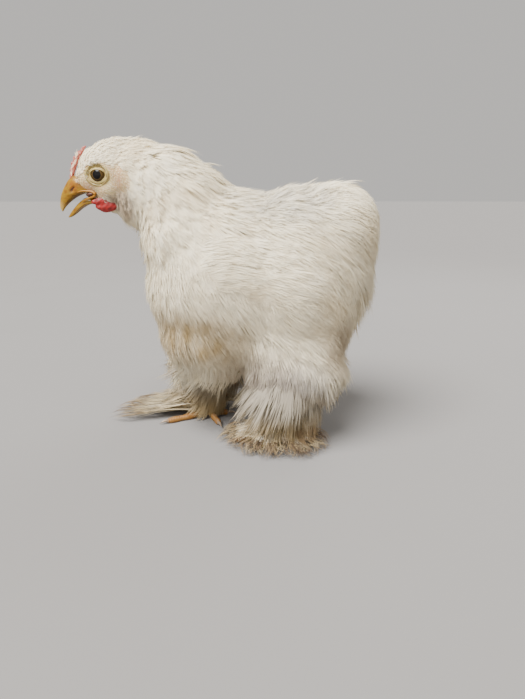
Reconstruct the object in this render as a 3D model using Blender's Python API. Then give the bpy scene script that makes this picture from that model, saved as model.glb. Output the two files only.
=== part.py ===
"""A still, life-size white Cochin bantam pullet that walks with her bill a little open.

Metres, +Z up. The bird faces -Y and her left side is +X. She stands on the floor z = 0, and the origin is on
that floor under the middle of her bounding box. The sizes below are millimetres from the point on the floor
under her back, MIDDLE away from the origin, and are turned into metres as they are used.
"""

import math
import random

import bmesh
import bpy
from mathutils import Matrix, Quaternion, Vector
from mathutils.bvhtree import BVHTree

MM = 0.001
GAP = 0.3
MIDDLE = Vector((0, -29, 0))
SIDES = {"left": 1, "right": -1}

# Rounded masses of the coat's outer form: centre, half sizes and the tilt about X in degrees.
TORSO_MASSES = (
    ((0, -20, 112), (58, 64, 65), 0),
    ((0, 22, 112), (59, 52, 66), 0),
    ((0, -48, 138), (44, 38, 42), 0),
    ((0, -35, 76), (48, 42, 31), 0),
    ((0, 30, 78), (46, 34, 33), 0),
)
TAIL_MASSES = (
    ((0, 46, 141), (43, 34, 36), 0),
    ((0, 51, 122), (40, 29, 36), 0),
)
NECK_MASSES = (
    ((0, -52, 162), (36, 35, 35), 0),
    ((0, -68, 176), (29, 29, 29), 0),
    ((0, -82, 186), (22, 23, 23), 0),
)
HEAD_MASSES = (
    ((0, -101, 189), (14.6, 25, 20), 0),
    ((0, -113, 184), (12, 15, 13), 0),
    ((0, -102, 178), (13.6, 15, 12.5), 0),
    ((0, -103, 170), (9.6, 14, 9), 0),
)
COAT_MASSES = TORSO_MASSES + TAIL_MASSES + NECK_MASSES + HEAD_MASSES

# Where the coat parts: a point on each cut and the direction of its upper or front side, in the mid plane.
HEAD_CUT = ((0, -90, 185), (0, -1, 0.06))
NECK_CUT = ((0, -60, 167), (0, -0.62, 0.78))
TAIL_CUT = ((0, 46, 143), (0, 0.70, 0.72))

# The eye: cornea, ball and lids, and how far its axis turns forward.
EYE = Vector((12.9, -114, 186))
EYE_RADIUS = 6.2
EYE_OPENING = 5.3
EYE_TURN = 10
LID_RADIUS = 6.5
LID_THICK = 1.3

# The bill in the mid plane: ridge, cutting edge and half width, from the root to the tip.
UPPER_BILL = (
    ((-121, 185), (-113, 175.8), 8.2),
    ((-129.5, 185.3), (-119.5, 174.7), 7.6),
    ((-133.4, 183.2), (-124, 174.0), 6.7),
    ((-136.6, 179), (-128.5, 172.4), 5.5),
    ((-139.6, 173.6), (-132.5, 170), 4.2),
    ((-141.2, 168), (-136, 167), 2.8),
    ((-141.5, 164.6), (-138.6, 164), 1.5),
)
UPPER_TIP = (-140.2, 161)
LOWER_BILL = (
    ((-111, 172.4), (-110, 166.2), 6.6),
    ((-119, 171.6), (-117, 166.8), 6),
    ((-124, 170.2), (-122, 166.3), 5),
    ((-128.5, 167), (-126.8, 163.6), 3.9),
    ((-132.5, 163), (-130.8, 160.3), 2.7),
    ((-135, 160), (-133.9, 158.2), 1.5),
)
LOWER_TIP = (-136.6, 157.3)
NOSTRIL = ((5.4, -132, 177.4), (1.6, 2.1, 0.8), -50)

# The comb's line on the brow from the bill to the crown, its height and its points.
COMB_LINE = ((-131.5, 184), (-129, 191), (-126, 198), (-121, 204))
COMB_HEIGHT = 3.6
COMB_ROOT = 2.4
COMB_POINTS = 6
COMB_THICK = 2.2

WATTLE_LOBES = (
    ((7.4, -107.5, 165.8), (2.1, 7.6, 4.6), 6),
    ((8, -115, 168.6), (1.7, 5.5, 2), 12),
)
EAR_LOBE = ((13.6, -95, 184), (1.6, 4.6, 6.4), 0)

# The folded wing from the shoulder to its tip: middle line, half width and thickness on the flank.
WING_SPINE = ((-46, 131), (-36, 131), (-16, 127), (8, 121), (30, 114), (46, 107))
WING_HALF = (7, 15, 23, 24, 19, 10)
WING_THICK = (2.5, 5, 6.5, 6.5, 6, 4.5)
WING_ACROSS = 4

# How a feather widens and narrows: share of its length and share of its half width, before its tip.
FEATHER_SHAPE = ((0, 0.24), (0.42, 1), (0.82, 0.8))
FEATHER_THICK = 0.7
FEATHER_TILT = 7
FEATHER_SEED = 7

# Height of a feather's middle over the skin at each station and at the tip.
COAT_LIFTS = (-2, 2.2, 3.2, 3)
HACKLE_LIFTS = (-2, 2.9, 3.9, 3.7)
LOCK_LIFTS = (-2.5, 2.3, 2.8, 3)
WING_LIFTS = (-1, 2, 3, 2.9)
WING_STIFF = 0.45
WING_TILT = -10
FOOT_TIP = 1.2
FOOT_ARCH = 4

# Hackle tiers round the neck: place along its axis, feathers in the ring, length, half width.
NECK_AXIS = (Vector((0, -92, 187)), Vector((0, -50, 160)))
HACKLE_TIERS = ((0.1, 7, 20, 4.8), (0.24, 8, 22, 5.2), (0.36, 8, 25, 5.6), (0.48, 9, 32, 5.8))
HACKLE_SPREAD = 125

# Cushion tiers: angle of the roots over the tail's centre, feathers, length, half width.
CUSHION_CENTRE = Vector((0, 44, 138))
CUSHION_TIERS = ((106, 6, 26, 6), (82, 7, 28, 6.5), (50, 7, 28, 6.5), (18, 7, 28, 6), (-12, 5, 24, 5.5))
CUSHION_SPREAD = 60

# Wing tiers: share of the spine where the roots stand, feathers, length, half width.
WING_TIERS = ((0.1, 3, 24, 5.4), (0.32, 5, 28, 5.4), (0.56, 5, 31, 5.2), (0.78, 4, 32, 4.6))
WING_SPREAD = 0.74

# Locks of the thigh's fluff: height of the roots over the middle, locks, length, half width, inward lean.
FLUFF_TIERS = ((0, 8, 21, 7.5, 0.36), (-12, 7, 16, 7, 0.7))

# Tiers of foot feathers: feathers, height of the roots, reach of the tips and half width.
FOOT_TIERS = ((7, 7, 1, 4.8), (5, 15, 0.8, 5.2), (4, 23, 0.56, 5.4))
FOOT_ROOT = 3
FOOT_TILT = 5
FOOT_STAGGER = 1.5

# Each foot: junction of the toes, hock, tips of the toes and middle of the thigh's fluff.
FEET = {
    "left": {
        "junction": (21, 9, 6.5),
        "hock": (30, 42, 45),
        "toes": {"middle": (36, -26), "inner": (11, -20), "outer": (51, -6), "hind": (16, 31)},
        "fluff": (32, 23, 49),
        "fan": ((14, -27), (33, -29), (51, -15), (58, 6), (58, 30), (44, 43), (28, 47)),
    },
    "right": {
        "junction": (-18, -43, 6.5),
        "hock": (-25, -10, 42),
        "toes": {"middle": (3, -81), "inner": (10, -31), "outer": (-37, -74), "hind": (-19, -21)},
        "fluff": (-29, -34, 47),
        "fan": ((-4, -106), (-25, -109), (-45, -98), (-58, -80), (-62, -55), (-55, -30), (-40, -14)),
    },
}
FLUFF_SIZE = (25, 36, 24)
SHANK_RADIUS = 4.6
TOE_RADIUS = 2.4
TOE_DROP = 1.6
CLAW_LENGTH = 7
CLAW_RADIUS = 1.5

# Colour, roughness and metallic value of each finish.
FINISHES = {
    "plumage": ((0.86, 0.83, 0.76), 0.8, 0),
    "face_skin": ((0.72, 0.52, 0.36), 0.6, 0),
    "bill": ((0.72, 0.44, 0.12), 0.4, 0),
    "comb": ((0.62, 0.22, 0.16), 0.55, 0),
    "wattle": ((0.70, 0.14, 0.07), 0.5, 0),
    "eye": ((0.08, 0.05, 0.02), 0.08, 0),
    "toes": ((0.75, 0.45, 0.18), 0.55, 0),
    "claws": ((0.12, 0.09, 0.06), 0.45, 0),
}


def finish(name):
    """The material of one finish, made once."""
    material = bpy.data.materials.get(name)
    if material is None:
        colour, roughness, metallic = FINISHES[name]
        material = bpy.data.materials.new(name)
        material.use_nodes = True
        shader = material.node_tree.nodes["Principled BSDF"]
        shader.inputs["Base Color"].default_value = (*colour, 1)
        shader.inputs["Roughness"].default_value = roughness
        shader.inputs["Metallic"].default_value = metallic
        material.diffuse_color = (*colour, 1)
    return material


def make_object(name, shape):
    """A new object that holds the shape of a bmesh, which is freed."""
    bmesh.ops.recalc_face_normals(shape, faces=shape.faces[:])
    mesh = bpy.data.meshes.new(name)
    shape.to_mesh(mesh)
    shape.free()
    obj = bpy.data.objects.new(name, mesh)
    bpy.context.scene.collection.objects.link(obj)
    return obj


def discard(obj):
    bpy.data.objects.remove(obj)


def settle(obj):
    """Turn the object's modifiers into its mesh."""
    depsgraph = bpy.context.evaluated_depsgraph_get()
    mesh = bpy.data.meshes.new_from_object(obj.evaluated_get(depsgraph))
    obj.modifiers.clear()
    obj.data = mesh


def carve(obj, tool):
    """Cut the tool's shape out of the object and drop the tool."""
    cut = obj.modifiers.new("Cut", "BOOLEAN")
    cut.operation = "DIFFERENCE"
    cut.object = tool
    settle(obj)
    discard(tool)


def fuse(obj, pieces):
    """Join the pieces to the object by one union and keep the largest closed surface."""
    group = bpy.data.collections.new(obj.name + "_pieces")
    bpy.context.scene.collection.children.link(group)
    for piece in pieces:
        group.objects.link(piece)
    union = obj.modifiers.new("Union", "BOOLEAN")
    union.operation = "UNION"
    union.operand_type = "COLLECTION"
    union.collection = group
    settle(obj)
    for piece in pieces:
        discard(piece)
    bpy.data.collections.remove(group)
    keep_largest(obj)


def keep_largest(obj):
    """Drop every closed surface of the object but the one that holds the most."""
    shape = bmesh.new()
    shape.from_mesh(obj.data)
    left = set(shape.faces)
    islands = []
    while left:
        seed = left.pop()
        island = [seed]
        front = [seed]
        while front:
            face = front.pop()
            for edge in face.edges:
                for other in edge.link_faces:
                    if other in left:
                        left.remove(other)
                        island.append(other)
                        front.append(other)
        islands.append(island)
    islands.sort(key=room, reverse=True)
    for island in islands[1:]:
        bmesh.ops.delete(shape, geom=island, context="FACES")
    shape.to_mesh(obj.data)
    shape.free()


def room(faces):
    """The volume that a closed set of faces holds."""
    total = 0
    for face in faces:
        corners = [vert.co for vert in face.verts]
        for second, third in zip(corners[1:-1], corners[2:]):
            total += corners[0].dot(second.cross(third)) / 6
    return total


def add_mass(shape, centre, half, tilt=0, grow=0, finer=3):
    """One ellipsoid of the coat, a lobe or a cutter, tilted about X."""
    sizes = [(size + grow) * MM for size in half]
    place = Matrix.Translation(Vector(centre) * MM) @ Matrix.Rotation(math.radians(tilt), 4, "X")
    place = place @ Matrix.Diagonal((*sizes, 1))
    bmesh.ops.create_icosphere(shape, subdivisions=finer, radius=1, matrix=place)


def mass_form(name, masses, voxel, faces, rounds=6):
    """Rounded masses fused to one skin, smoothed and reduced to about so many triangles."""
    shape = bmesh.new()
    for centre, half, tilt in masses:
        add_mass(shape, centre, half, tilt, finer=4)
    obj = make_object(name, shape)
    remesh = obj.modifiers.new("Remesh", "REMESH")
    remesh.mode = "VOXEL"
    remesh.voxel_size = voxel * MM
    smooth = obj.modifiers.new("Smooth", "SMOOTH")
    smooth.factor = 0.5
    smooth.iterations = rounds
    settle(obj)
    reduce_to(obj, faces)
    return obj


def reduce_to(obj, faces):
    """Decimate the object to about so many triangles."""
    count = sum(len(polygon.vertices) - 2 for polygon in obj.data.polygons)
    decimate = obj.modifiers.new("Decimate", "DECIMATE")
    decimate.ratio = min(1, faces / count)
    decimate.use_collapse_triangulate = True
    settle(obj)


def slice_off(obj, cut, keep_front, gap=GAP):
    """Cut the object by a plane, half a gap back from it, and close it flat."""
    point, direction = cut
    normal = Vector(direction).normalized()
    if keep_front:
        normal = -normal
    shape = bmesh.new()
    shape.from_mesh(obj.data)
    parts = shape.verts[:] + shape.edges[:] + shape.faces[:]
    plane_point = (Vector(point) - normal * gap / 2) * MM
    made = bmesh.ops.bisect_plane(
        shape, geom=parts, plane_co=plane_point, plane_no=normal, clear_outer=True, dist=1e-7
    )
    rim = [item for item in made["geom_cut"] if isinstance(item, bmesh.types.BMEdge)]
    bmesh.ops.triangle_fill(shape, edges=rim, use_beauty=True)
    bmesh.ops.recalc_face_normals(shape, faces=shape.faces[:])
    shape.to_mesh(obj.data)
    shape.free()


def grown_copy(obj, grow):
    """A copy of the object with its skin moved out, as a cutter that leaves a gap."""
    shape = bmesh.new()
    shape.from_mesh(obj.data)
    shape.normal_update()
    moves = [vert.normal * grow * MM for vert in shape.verts]
    for vert, move in zip(shape.verts, moves):
        vert.co += move
    return make_object(obj.name + "_grown", shape)


def add_loft(shape, rings):
    """A closed skin through rings of equally many points, where a ring of one point is a tip."""
    loops = [[shape.verts.new(Vector(point) * MM) for point in ring] for ring in rings]
    for first, second in zip(loops, loops[1:]):
        count = max(len(first), len(second))
        for index in range(count):
            following = (index + 1) % count
            if len(second) == 1:
                shape.faces.new((first[index], first[following], second[0]))
            elif len(first) == 1:
                shape.faces.new((first[0], second[following], second[index]))
            else:
                shape.faces.new((first[index], first[following], second[following]))
                shape.faces.new((first[index], second[following], second[index]))
    for loop in (loops[0], loops[-1]):
        if len(loop) > 1:
            shape.faces.new(loop)


def add_feather(shape, middles, hints, half, tilt=0):
    """A thin tapered vane through its middle points, split alike on both faces.

    Each hint is the way its upper face looks, and the tilt turns it about its shaft like a roof tile.
    """
    loops = []
    for index, (_, width) in enumerate(FEATHER_SHAPE):
        along = (middles[index + 1] - middles[max(index - 1, 0)]).normalized()
        up = (hints[index] - along * hints[index].dot(along)).normalized()
        up.rotate(Quaternion(along, math.radians(tilt)))
        across = along.cross(up) * half * width
        skin = up * FEATHER_THICK / 2
        middle = middles[index]
        corners = (middle - across + skin, middle + across + skin, middle + across - skin, middle - across - skin)
        loops.append([shape.verts.new(corner * MM) for corner in corners])
    for first, second in zip(loops, loops[1:]):
        for near, far in ((0, 1), (3, 2), (1, 2), (0, 3)):
            shape.faces.new((first[near], first[far], second[far]))
            shape.faces.new((first[near], second[far], second[near]))
    shape.faces.new((loops[0][0], loops[0][1], loops[0][2]))
    shape.faces.new((loops[0][0], loops[0][2], loops[0][3]))
    tip = shape.verts.new(middles[-1] * MM)
    for index in range(4):
        shape.faces.new((loops[-1][index], loops[-1][(index + 1) % 4], tip))


def make_feather(middles, hints, half, tilt=0):
    shape = bmesh.new()
    add_feather(shape, middles, hints, half, tilt)
    return make_object("feather", shape)


def lay_feather(skin, root, lie, length, half, lifts, tilt, sway):
    """A feather whose root is sunk in the skin and which follows the skin along its lie."""
    spot, normal = skin.near(root)
    middles = []
    hints = []
    travelled = 0
    turn = Quaternion(normal, math.radians(sway))
    for (share, _), lift in zip(FEATHER_SHAPE + ((1, 0),), lifts):
        heading = turn @ lie
        along = (heading - normal * heading.dot(normal)).normalized()
        spot, normal = skin.near(spot + along * length * (share - travelled))
        travelled = share
        middles.append(spot + normal * lift)
        hints.append(normal)
    return make_feather(middles, hints, half, tilt)


class Skin:
    """Nearest and first-met points of a form, in millimetres."""

    def __init__(self, *objects):
        shape = bmesh.new()
        for obj in objects:
            shape.from_mesh(obj.data)
        self.tree = BVHTree.FromBMesh(shape)
        shape.free()

    def near(self, point):
        spot, normal, _, _ = self.tree.find_nearest(point * MM)
        return spot / MM, normal

    def shot(self, start, direction):
        spot = self.tree.ray_cast(start * MM, direction)[0]
        return spot / MM if spot else None


def tube_rings(points, radii, sides=8, floor=None):
    """Rings round a bent path; with a floor, what would reach below it is laid flat on it."""
    rings = []
    for index, (point, radius) in enumerate(zip(points, radii)):
        before = points[max(index - 1, 0)]
        after = points[min(index + 1, len(points) - 1)]
        along = (after - before).normalized()
        across = along.cross(Vector((0, 0, 1))).normalized()
        up = across.cross(along)
        ring = []
        for side in range(sides):
            angle = math.tau * side / sides
            corner = point + (across * math.cos(angle) + up * math.sin(angle)) * radius
            if floor is not None:
                corner.z = max(corner.z, floor)
            ring.append(corner)
        rings.append(ring)
    return rings


def bill_rings(stations, tip, drop, grow=0, steps=6):
    """Arched sections between the ridge and the cutting edges of one half of the bill."""
    rings = []
    for (ridge_y, ridge_z), (edge_y, edge_z), half in stations:
        ridge = Vector((0, ridge_y, ridge_z))
        edge = Vector((0, edge_y, edge_z))
        rise = ridge - edge
        outward = rise.normalized() * grow
        ring = []
        for step in range(steps + 1):
            angle = math.pi * step / steps
            sideways = Vector(((half + grow) * math.cos(angle), 0, 0))
            ring.append(edge - outward + sideways + (rise + outward * 2) * math.sin(angle) ** 0.75)
        ring.append(edge - outward + rise * drop)
        rings.append(ring)
    rings.append([Vector((0, *tip))])
    return rings


def make_bill(name, stations, tip, drop, grow=0):
    shape = bmesh.new()
    add_loft(shape, bill_rings(stations, tip, drop, grow))
    return make_object(name, shape)


def eye_place(side):
    """The ball's centre and its axis, which turns a little forward."""
    turn = math.radians(EYE_TURN)
    axis = Vector((side * math.cos(turn), -math.sin(turn), 0))
    cornea = Vector((side * EYE.x, EYE.y, EYE.z))
    return cornea - axis * EYE_RADIUS, axis


def add_turned(shape, centre, axis, profile, sides):
    """A profile of distances along an axis and radii, turned round that axis."""
    across = axis.cross(Vector((0, 0, 1))).normalized()
    up = across.cross(axis)
    rings = []
    for along, radius in profile:
        if radius == 0:
            rings.append([centre + axis * along])
            continue
        ring = []
        for side in range(sides):
            angle = math.tau * side / sides
            spoke = across * math.cos(angle) + up * math.sin(angle)
            ring.append(centre + axis * along + spoke * radius)
        rings.append(ring)
    add_loft(shape, rings)


def ball_profile(radius, start, end, steps):
    """Points of a circle's arc between two angles from the axis, in degrees."""
    profile = []
    for step in range(steps + 1):
        angle = math.radians(start + (end - start) * step / steps)
        reach = radius * math.sin(angle)
        profile.append((radius * math.cos(angle), reach if reach > 1e-6 else 0))
    return profile


def make_eye(side, name):
    shape = bmesh.new()
    centre, axis = eye_place(side)
    add_turned(shape, centre, axis, ball_profile(EYE_RADIUS, 180, 0, 8), 12)
    return make_object(name, shape)


def make_socket(side):
    """The cutter for the ball's seat and the opening between the lids."""
    shape = bmesh.new()
    centre, axis = eye_place(side)
    radius = EYE_RADIUS + GAP
    edge = math.degrees(math.asin(EYE_OPENING / radius))
    profile = ball_profile(radius, 180, edge, 6)
    profile += [(EYE_RADIUS, EYE_OPENING + 0.5), (EYE_RADIUS + 4, EYE_OPENING + 2.5), (EYE_RADIUS + 4, 0)]
    add_turned(shape, centre, axis, profile, 14)
    return make_object("socket", shape)


def make_lids(side):
    """A rounded rim round the eye, thicker below."""
    shape = bmesh.new()
    centre, axis = eye_place(side)
    seat = centre + axis * (EYE_RADIUS - 2.2)
    profile = []
    for step in range(7):
        angle = math.tau * step / 7
        profile.append((LID_THICK * 1.1 * math.cos(angle), LID_RADIUS + LID_THICK * math.sin(angle)))
    across = axis.cross(Vector((0, 0, 1))).normalized()
    up = across.cross(axis)
    sides = 14
    loops = []
    for side_step in range(sides):
        angle = math.tau * side_step / sides
        spoke = across * math.cos(angle) + up * math.sin(angle)
        loops.append([shape.verts.new((seat + axis * along + spoke * reach) * MM) for along, reach in profile])
    for index, first in enumerate(loops):
        second = loops[(index + 1) % sides]
        for step in range(7):
            following = (step + 1) % 7
            shape.faces.new((first[step], first[following], second[following], second[step]))
    return make_object("lids", shape)


def make_comb(name, grow=0):
    """A low plate of small points that lean back, thinner at its edge."""
    shape = bmesh.new()
    points = [Vector((0, *point)) for point in COMB_LINE]
    steps = COMB_POINTS * 2
    rings = []
    for step in range(steps + 1):
        place = step / steps * (len(points) - 1)
        index = min(int(place), len(points) - 2)
        spot = points[index].lerp(points[index + 1], place - index)
        along = (points[index + 1] - points[index]).normalized()
        out = Vector((0, -along.z, along.y))
        taper = math.sin(math.pi * (0.12 + 0.8 * step / steps))
        height = COMB_HEIGHT * taper * (1 if step % 2 else 0.45) + grow
        lean = along * height * 0.25
        half = COMB_THICK / 2 + grow
        root = spot - out * (COMB_ROOT + grow)
        rings.append([
            root + Vector((half, 0, 0)),
            spot + Vector((half, 0, 0)),
            spot + out * height + lean + Vector((half * 0.35, 0, 0)),
            spot + out * height + lean - Vector((half * 0.35, 0, 0)),
            spot - Vector((half, 0, 0)),
            root - Vector((half, 0, 0)),
        ])
    add_loft(shape, rings)
    return make_object(name, shape)


def make_wattle(side, name, grow=0):
    """A rounded lobe under the jaw with a low fold that runs forward to the gape."""
    lobes = []
    for (x, y, z), half, tilt in WATTLE_LOBES:
        shape = bmesh.new()
        add_mass(shape, (side * x, y, z), half, tilt, grow, finer=2)
        lobes.append(make_object(name, shape))
    fuse(lobes[0], lobes[1:])
    return lobes[0]


def make_head():
    """Head with its lids, ear lobes, seats for the eyes and roots for bill, comb and wattles."""
    head = mass_form("head", COAT_MASSES, 1.6, 9000, rounds=4)
    slice_off(head, HEAD_CUT, True)
    reduce_to(head, 640)
    details = [make_lids(side) for side in SIDES.values()]
    for side in SIDES.values():
        (x, y, z), half, tilt = EAR_LOBE
        shape = bmesh.new()
        add_mass(shape, (side * x, y, z), half, tilt, finer=2)
        details.append(make_object("ear_lobe", shape))
    fuse(head, details)
    for side in SIDES.values():
        carve(head, make_socket(side))
        carve(head, make_wattle(side, "wattle_seat", GAP))
    carve(head, make_bill("bill_seat", UPPER_BILL, UPPER_TIP, 0.25, GAP))
    carve(head, make_bill("bill_seat", LOWER_BILL, LOWER_TIP, 0.25, GAP))
    carve(head, make_comb("comb_seat", GAP))
    keep_largest(head)
    return head


def make_nostrils(bill):
    (x, y, z), half, tilt = NOSTRIL
    for side in SIDES.values():
        shape = bmesh.new()
        add_mass(shape, (side * x, y, z), half, tilt, finer=2)
        carve(bill, make_object("nostril", shape))


def toe_path(junction, tip):
    """Points and radii of a toe with a row of pads, down from the junction to the floor, and its heading."""
    start = Vector(junction)
    end = Vector((*tip, TOE_RADIUS * 0.8))
    forward = Vector((end.x - start.x, end.y - start.y, 0)).normalized()
    claw_start = end - forward * CLAW_LENGTH
    points = []
    radii = []
    pads = 3
    for step in range(pads * 2 + 1):
        share = step / (pads * 2)
        point = start.lerp(claw_start, share)
        point.z = TOE_RADIUS * 0.82 + (start.z - TOE_RADIUS * 0.82) * max(0, 1 - share * TOE_DROP) ** 2
        points.append(point)
        swell = 1.12 if step % 2 else 0.94
        radii.append(TOE_RADIUS * swell * (1.1 - 0.25 * share))
    return points, radii, forward


def add_toe(shape, junction, tip):
    """A toe that lies on the floor, with the end of its path and its heading for the claw."""
    points, radii, forward = toe_path(junction, tip)
    rings = tube_rings(points, radii, 7, floor=0)
    end = points[-1] + forward * radii[-1] * 0.5
    end.z = max(end.z - 0.3, 0.9)
    rings.append([end])
    add_loft(shape, rings)
    return points[-1], forward


def claw_rings(toe_end, forward, grow=0):
    """A curved claw that comes out of the toe's end and just clears the floor."""
    rings = []
    points = []
    radii = []
    for step in range(5):
        share = step / 4
        point = toe_end + forward * (share * CLAW_LENGTH - 1.2)
        point.z = toe_end.z + 0.9 * math.sin(share * math.pi * 0.8) - 1.1 * share ** 2
        points.append(point)
        radii.append((CLAW_RADIUS + grow) * (1 - 0.72 * share ** 1.3))
    rings = tube_rings(points, radii, 6)
    rings.append([points[-1] + forward * 0.9 - Vector((0, 0, 0.25))])
    return rings


def make_foot(name, foot, fluff, draw):
    """Shank, four toes and the fan of foot feathers, with seats for the claws."""
    junction = Vector(foot["junction"])
    hock = Vector(foot["hock"])
    shape = bmesh.new()
    points = [junction.lerp(hock, share) for share in (-0.06, 0.15, 0.5, 0.85, 1.1)]
    rings = tube_rings(points, [SHANK_RADIUS * size for size in (0.8, 1, 0.95, 1.05, 1.1)], 8)
    add_loft(shape, rings)
    body = make_object(name, shape)
    pieces = []
    claws = []
    for toe_name, tip in foot["toes"].items():
        shape = bmesh.new()
        end, forward = add_toe(shape, foot["junction"], tip)
        pieces.append(make_object("toe", shape))
        claws.append((toe_name, end, forward))
    shape = bmesh.new()
    add_mass(shape, junction - Vector((0, 0, 2)), (7, 8, 4.4), finer=1)
    pieces.append(make_object("sole", shape))
    pieces += foot_feathers(foot, draw)
    fuse(body, pieces)
    flatten_under(body)
    carve(body, grown_copy(fluff, GAP))
    keep_largest(body)
    made = []
    for toe_name, end, forward in claws:
        shape = bmesh.new()
        add_loft(shape, claw_rings(end, forward, GAP))
        carve(body, make_object("claw_seat", shape))
        shape = bmesh.new()
        add_loft(shape, claw_rings(end, forward))
        claw = make_object(name.replace("foot", "claw_" + toe_name), shape)
        made.append(claw)
    keep_largest(body)
    return body, made


def flatten_under(obj):
    """Cut the object flat at the floor, which leaves the soles as small flats at one level."""
    slice_off(obj, ((0, 0, 0), (0, 0, 1)), True, gap=0)


def hackles(skin, draw):
    """Tiers of hackle feathers round the neck, the throat left bare."""
    start, end = NECK_AXIS
    across = Vector((1, 0, 0))
    feathers = []
    for place, count, length, half in HACKLE_TIERS:
        centre = start.lerp(end, place)
        axis = -Vector(HEAD_CUT[1]).lerp(Vector(NECK_CUT[1]), place).normalized()
        up = across.cross(axis)
        for index in range(count):
            angle = math.radians(HACKLE_SPREAD * (2 * index / (count - 1) - 1) + draw.uniform(-3, 3))
            outward = across * math.sin(angle) + up * math.cos(angle)
            root = skin.shot(centre, outward)
            lie = axis + Vector((0, 0, -0.35 * abs(math.sin(angle))))
            feathers.append(lay_feather(
                skin, root, lie, length * draw.uniform(0.92, 1.08), half, HACKLE_LIFTS,
                FEATHER_TILT, draw.uniform(-5, 5)))
    return feathers


def cushion(skin, draw):
    """Tiers of soft feathers over the tail, which turn down at the rear."""
    lie = Vector((0, 0.5, -0.85))
    feathers = []
    for angle, count, length, half in CUSHION_TIERS:
        for index in range(count):
            sideways = math.radians(CUSHION_SPREAD * (2 * index / (count - 1) - 1))
            rise = math.radians(angle + draw.uniform(-4, 4))
            outward = Vector((
                math.sin(sideways), math.cos(sideways) * math.cos(rise), math.cos(sideways) * math.sin(rise)))
            root = skin.shot(CUSHION_CENTRE, outward)
            feathers.append(lay_feather(
                skin, root, lie, length * draw.uniform(0.92, 1.08), half, COAT_LIFTS,
                FEATHER_TILT, draw.uniform(-6, 6)))
    return feathers


def spine_point(place):
    """A point on the wing's middle line, its half width, its thickness and the line's direction there."""
    spot = place * (len(WING_SPINE) - 1)
    index = min(int(spot), len(WING_SPINE) - 2)
    share = spot - index
    first = Vector((0, *WING_SPINE[index]))
    second = Vector((0, *WING_SPINE[index + 1]))
    half = WING_HALF[index] + (WING_HALF[index + 1] - WING_HALF[index]) * share
    return first.lerp(second, share), half, (second - first).normalized()


def wing_feathers(side, flank, draw):
    """Coverts, secondaries and primaries in tiers that run back and down along the folded wing."""
    feathers = []
    outward = Vector((side, 0, 0))
    for place, count, length, half in WING_TIERS:
        middle, width, along = spine_point(place)
        up = Vector((0, -along.z, along.y))
        for index in range(count):
            share = WING_SPREAD * (2 * index / (count - 1) - 1)
            spot = middle + up * width * share
            heading = (along - up * 0.22 * share).normalized()
            heading.rotate(Quaternion(outward, math.radians(draw.uniform(-4, 4))))
            reach = length * draw.uniform(0.94, 1.06)
            middles = []
            hints = []
            travelled = 0
            least = 0
            for (stretch, _), lift in zip(FEATHER_SHAPE + ((1, 0),), WING_LIFTS):
                spot = spot + heading * reach * (stretch - travelled)
                hit = flank.shot(Vector((side * 200, spot.y, spot.z)), -outward)
                far = abs(hit.x) + lift if hit else 0
                far = max(far, least - WING_STIFF * reach * (stretch - travelled))
                least = far
                travelled = stretch
                point = Vector((side * far, spot.y, spot.z))
                middles.append(point)
                normal = flank.near(point)[1]
                hints.append(normal if normal.x * side > 0.3 else outward)
            feathers.append(make_feather(middles, hints, half, side * WING_TILT))
    return feathers


def fluff_locks(skin, centre, draw):
    """Loose locks that hang round the thigh and stand off it at their tips."""
    locks = []
    for height, count, length, half, lean in FLUFF_TIERS:
        for index in range(count):
            angle = math.tau * (index + draw.uniform(-0.15, 0.15)) / count
            outward = Vector((math.cos(angle), math.sin(angle), 0))
            root = skin.shot(Vector(centre) + Vector((0, 0, height)), outward)
            fall = Vector((0, 0.15, -1)) - outward * lean
            reach = length * draw.uniform(0.9, 1.1)
            middles = []
            for (share, _), lift in zip(FEATHER_SHAPE + ((1, 0),), LOCK_LIFTS):
                middles.append(root + fall * reach * share + outward * lift)
            locks.append(make_feather(middles, [outward] * len(FEATHER_SHAPE), half, FEATHER_TILT))
    return locks


def fan_spot(spots, share):
    """A point on the outline through the tips of the foot's feathers."""
    place = share * (len(spots) - 1)
    index = min(int(place), len(spots) - 2)
    return Vector((*spots[index], 0)).lerp(Vector((*spots[index + 1], 0)), place - index)


def foot_feathers(foot, draw):
    """Tiers of feathers that fan out from the shank and the outer toes over the floor."""
    junction = Vector(foot["junction"])
    hock = Vector(foot["hock"])
    feathers = []
    for count, height, reach, half in FOOT_TIERS:
        for index in range(count):
            share = (index + 0.5 + draw.uniform(-0.15, 0.15)) / count
            root = junction.lerp(hock, (height - junction.z) / (hock.z - junction.z))
            tip = fan_spot(foot["fan"], share) * draw.uniform(0.97, 1.03)
            tip = Vector((root.x, root.y, 0)).lerp(tip, reach)
            outward = Vector((tip.x - root.x, tip.y - root.y, 0)).normalized()
            root += outward * FOOT_ROOT
            tip.z = FOOT_TIP + (1 - reach) * 12
            middles = []
            hints = []
            for stretch, _ in FEATHER_SHAPE + ((1, 0),):
                point = root.lerp(tip, stretch)
                point.z += FOOT_ARCH * math.sin(math.pi * stretch) * (1.2 - 0.4 * stretch)
                point.z += FOOT_STAGGER * (index % 2) * min(1, stretch * 3)
                middles.append(point)
                hints.append(outward * 0.5 + Vector((0, 0, 1)))
            feathers.append(make_feather(middles, hints, half, FOOT_TILT))
    return feathers


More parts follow.
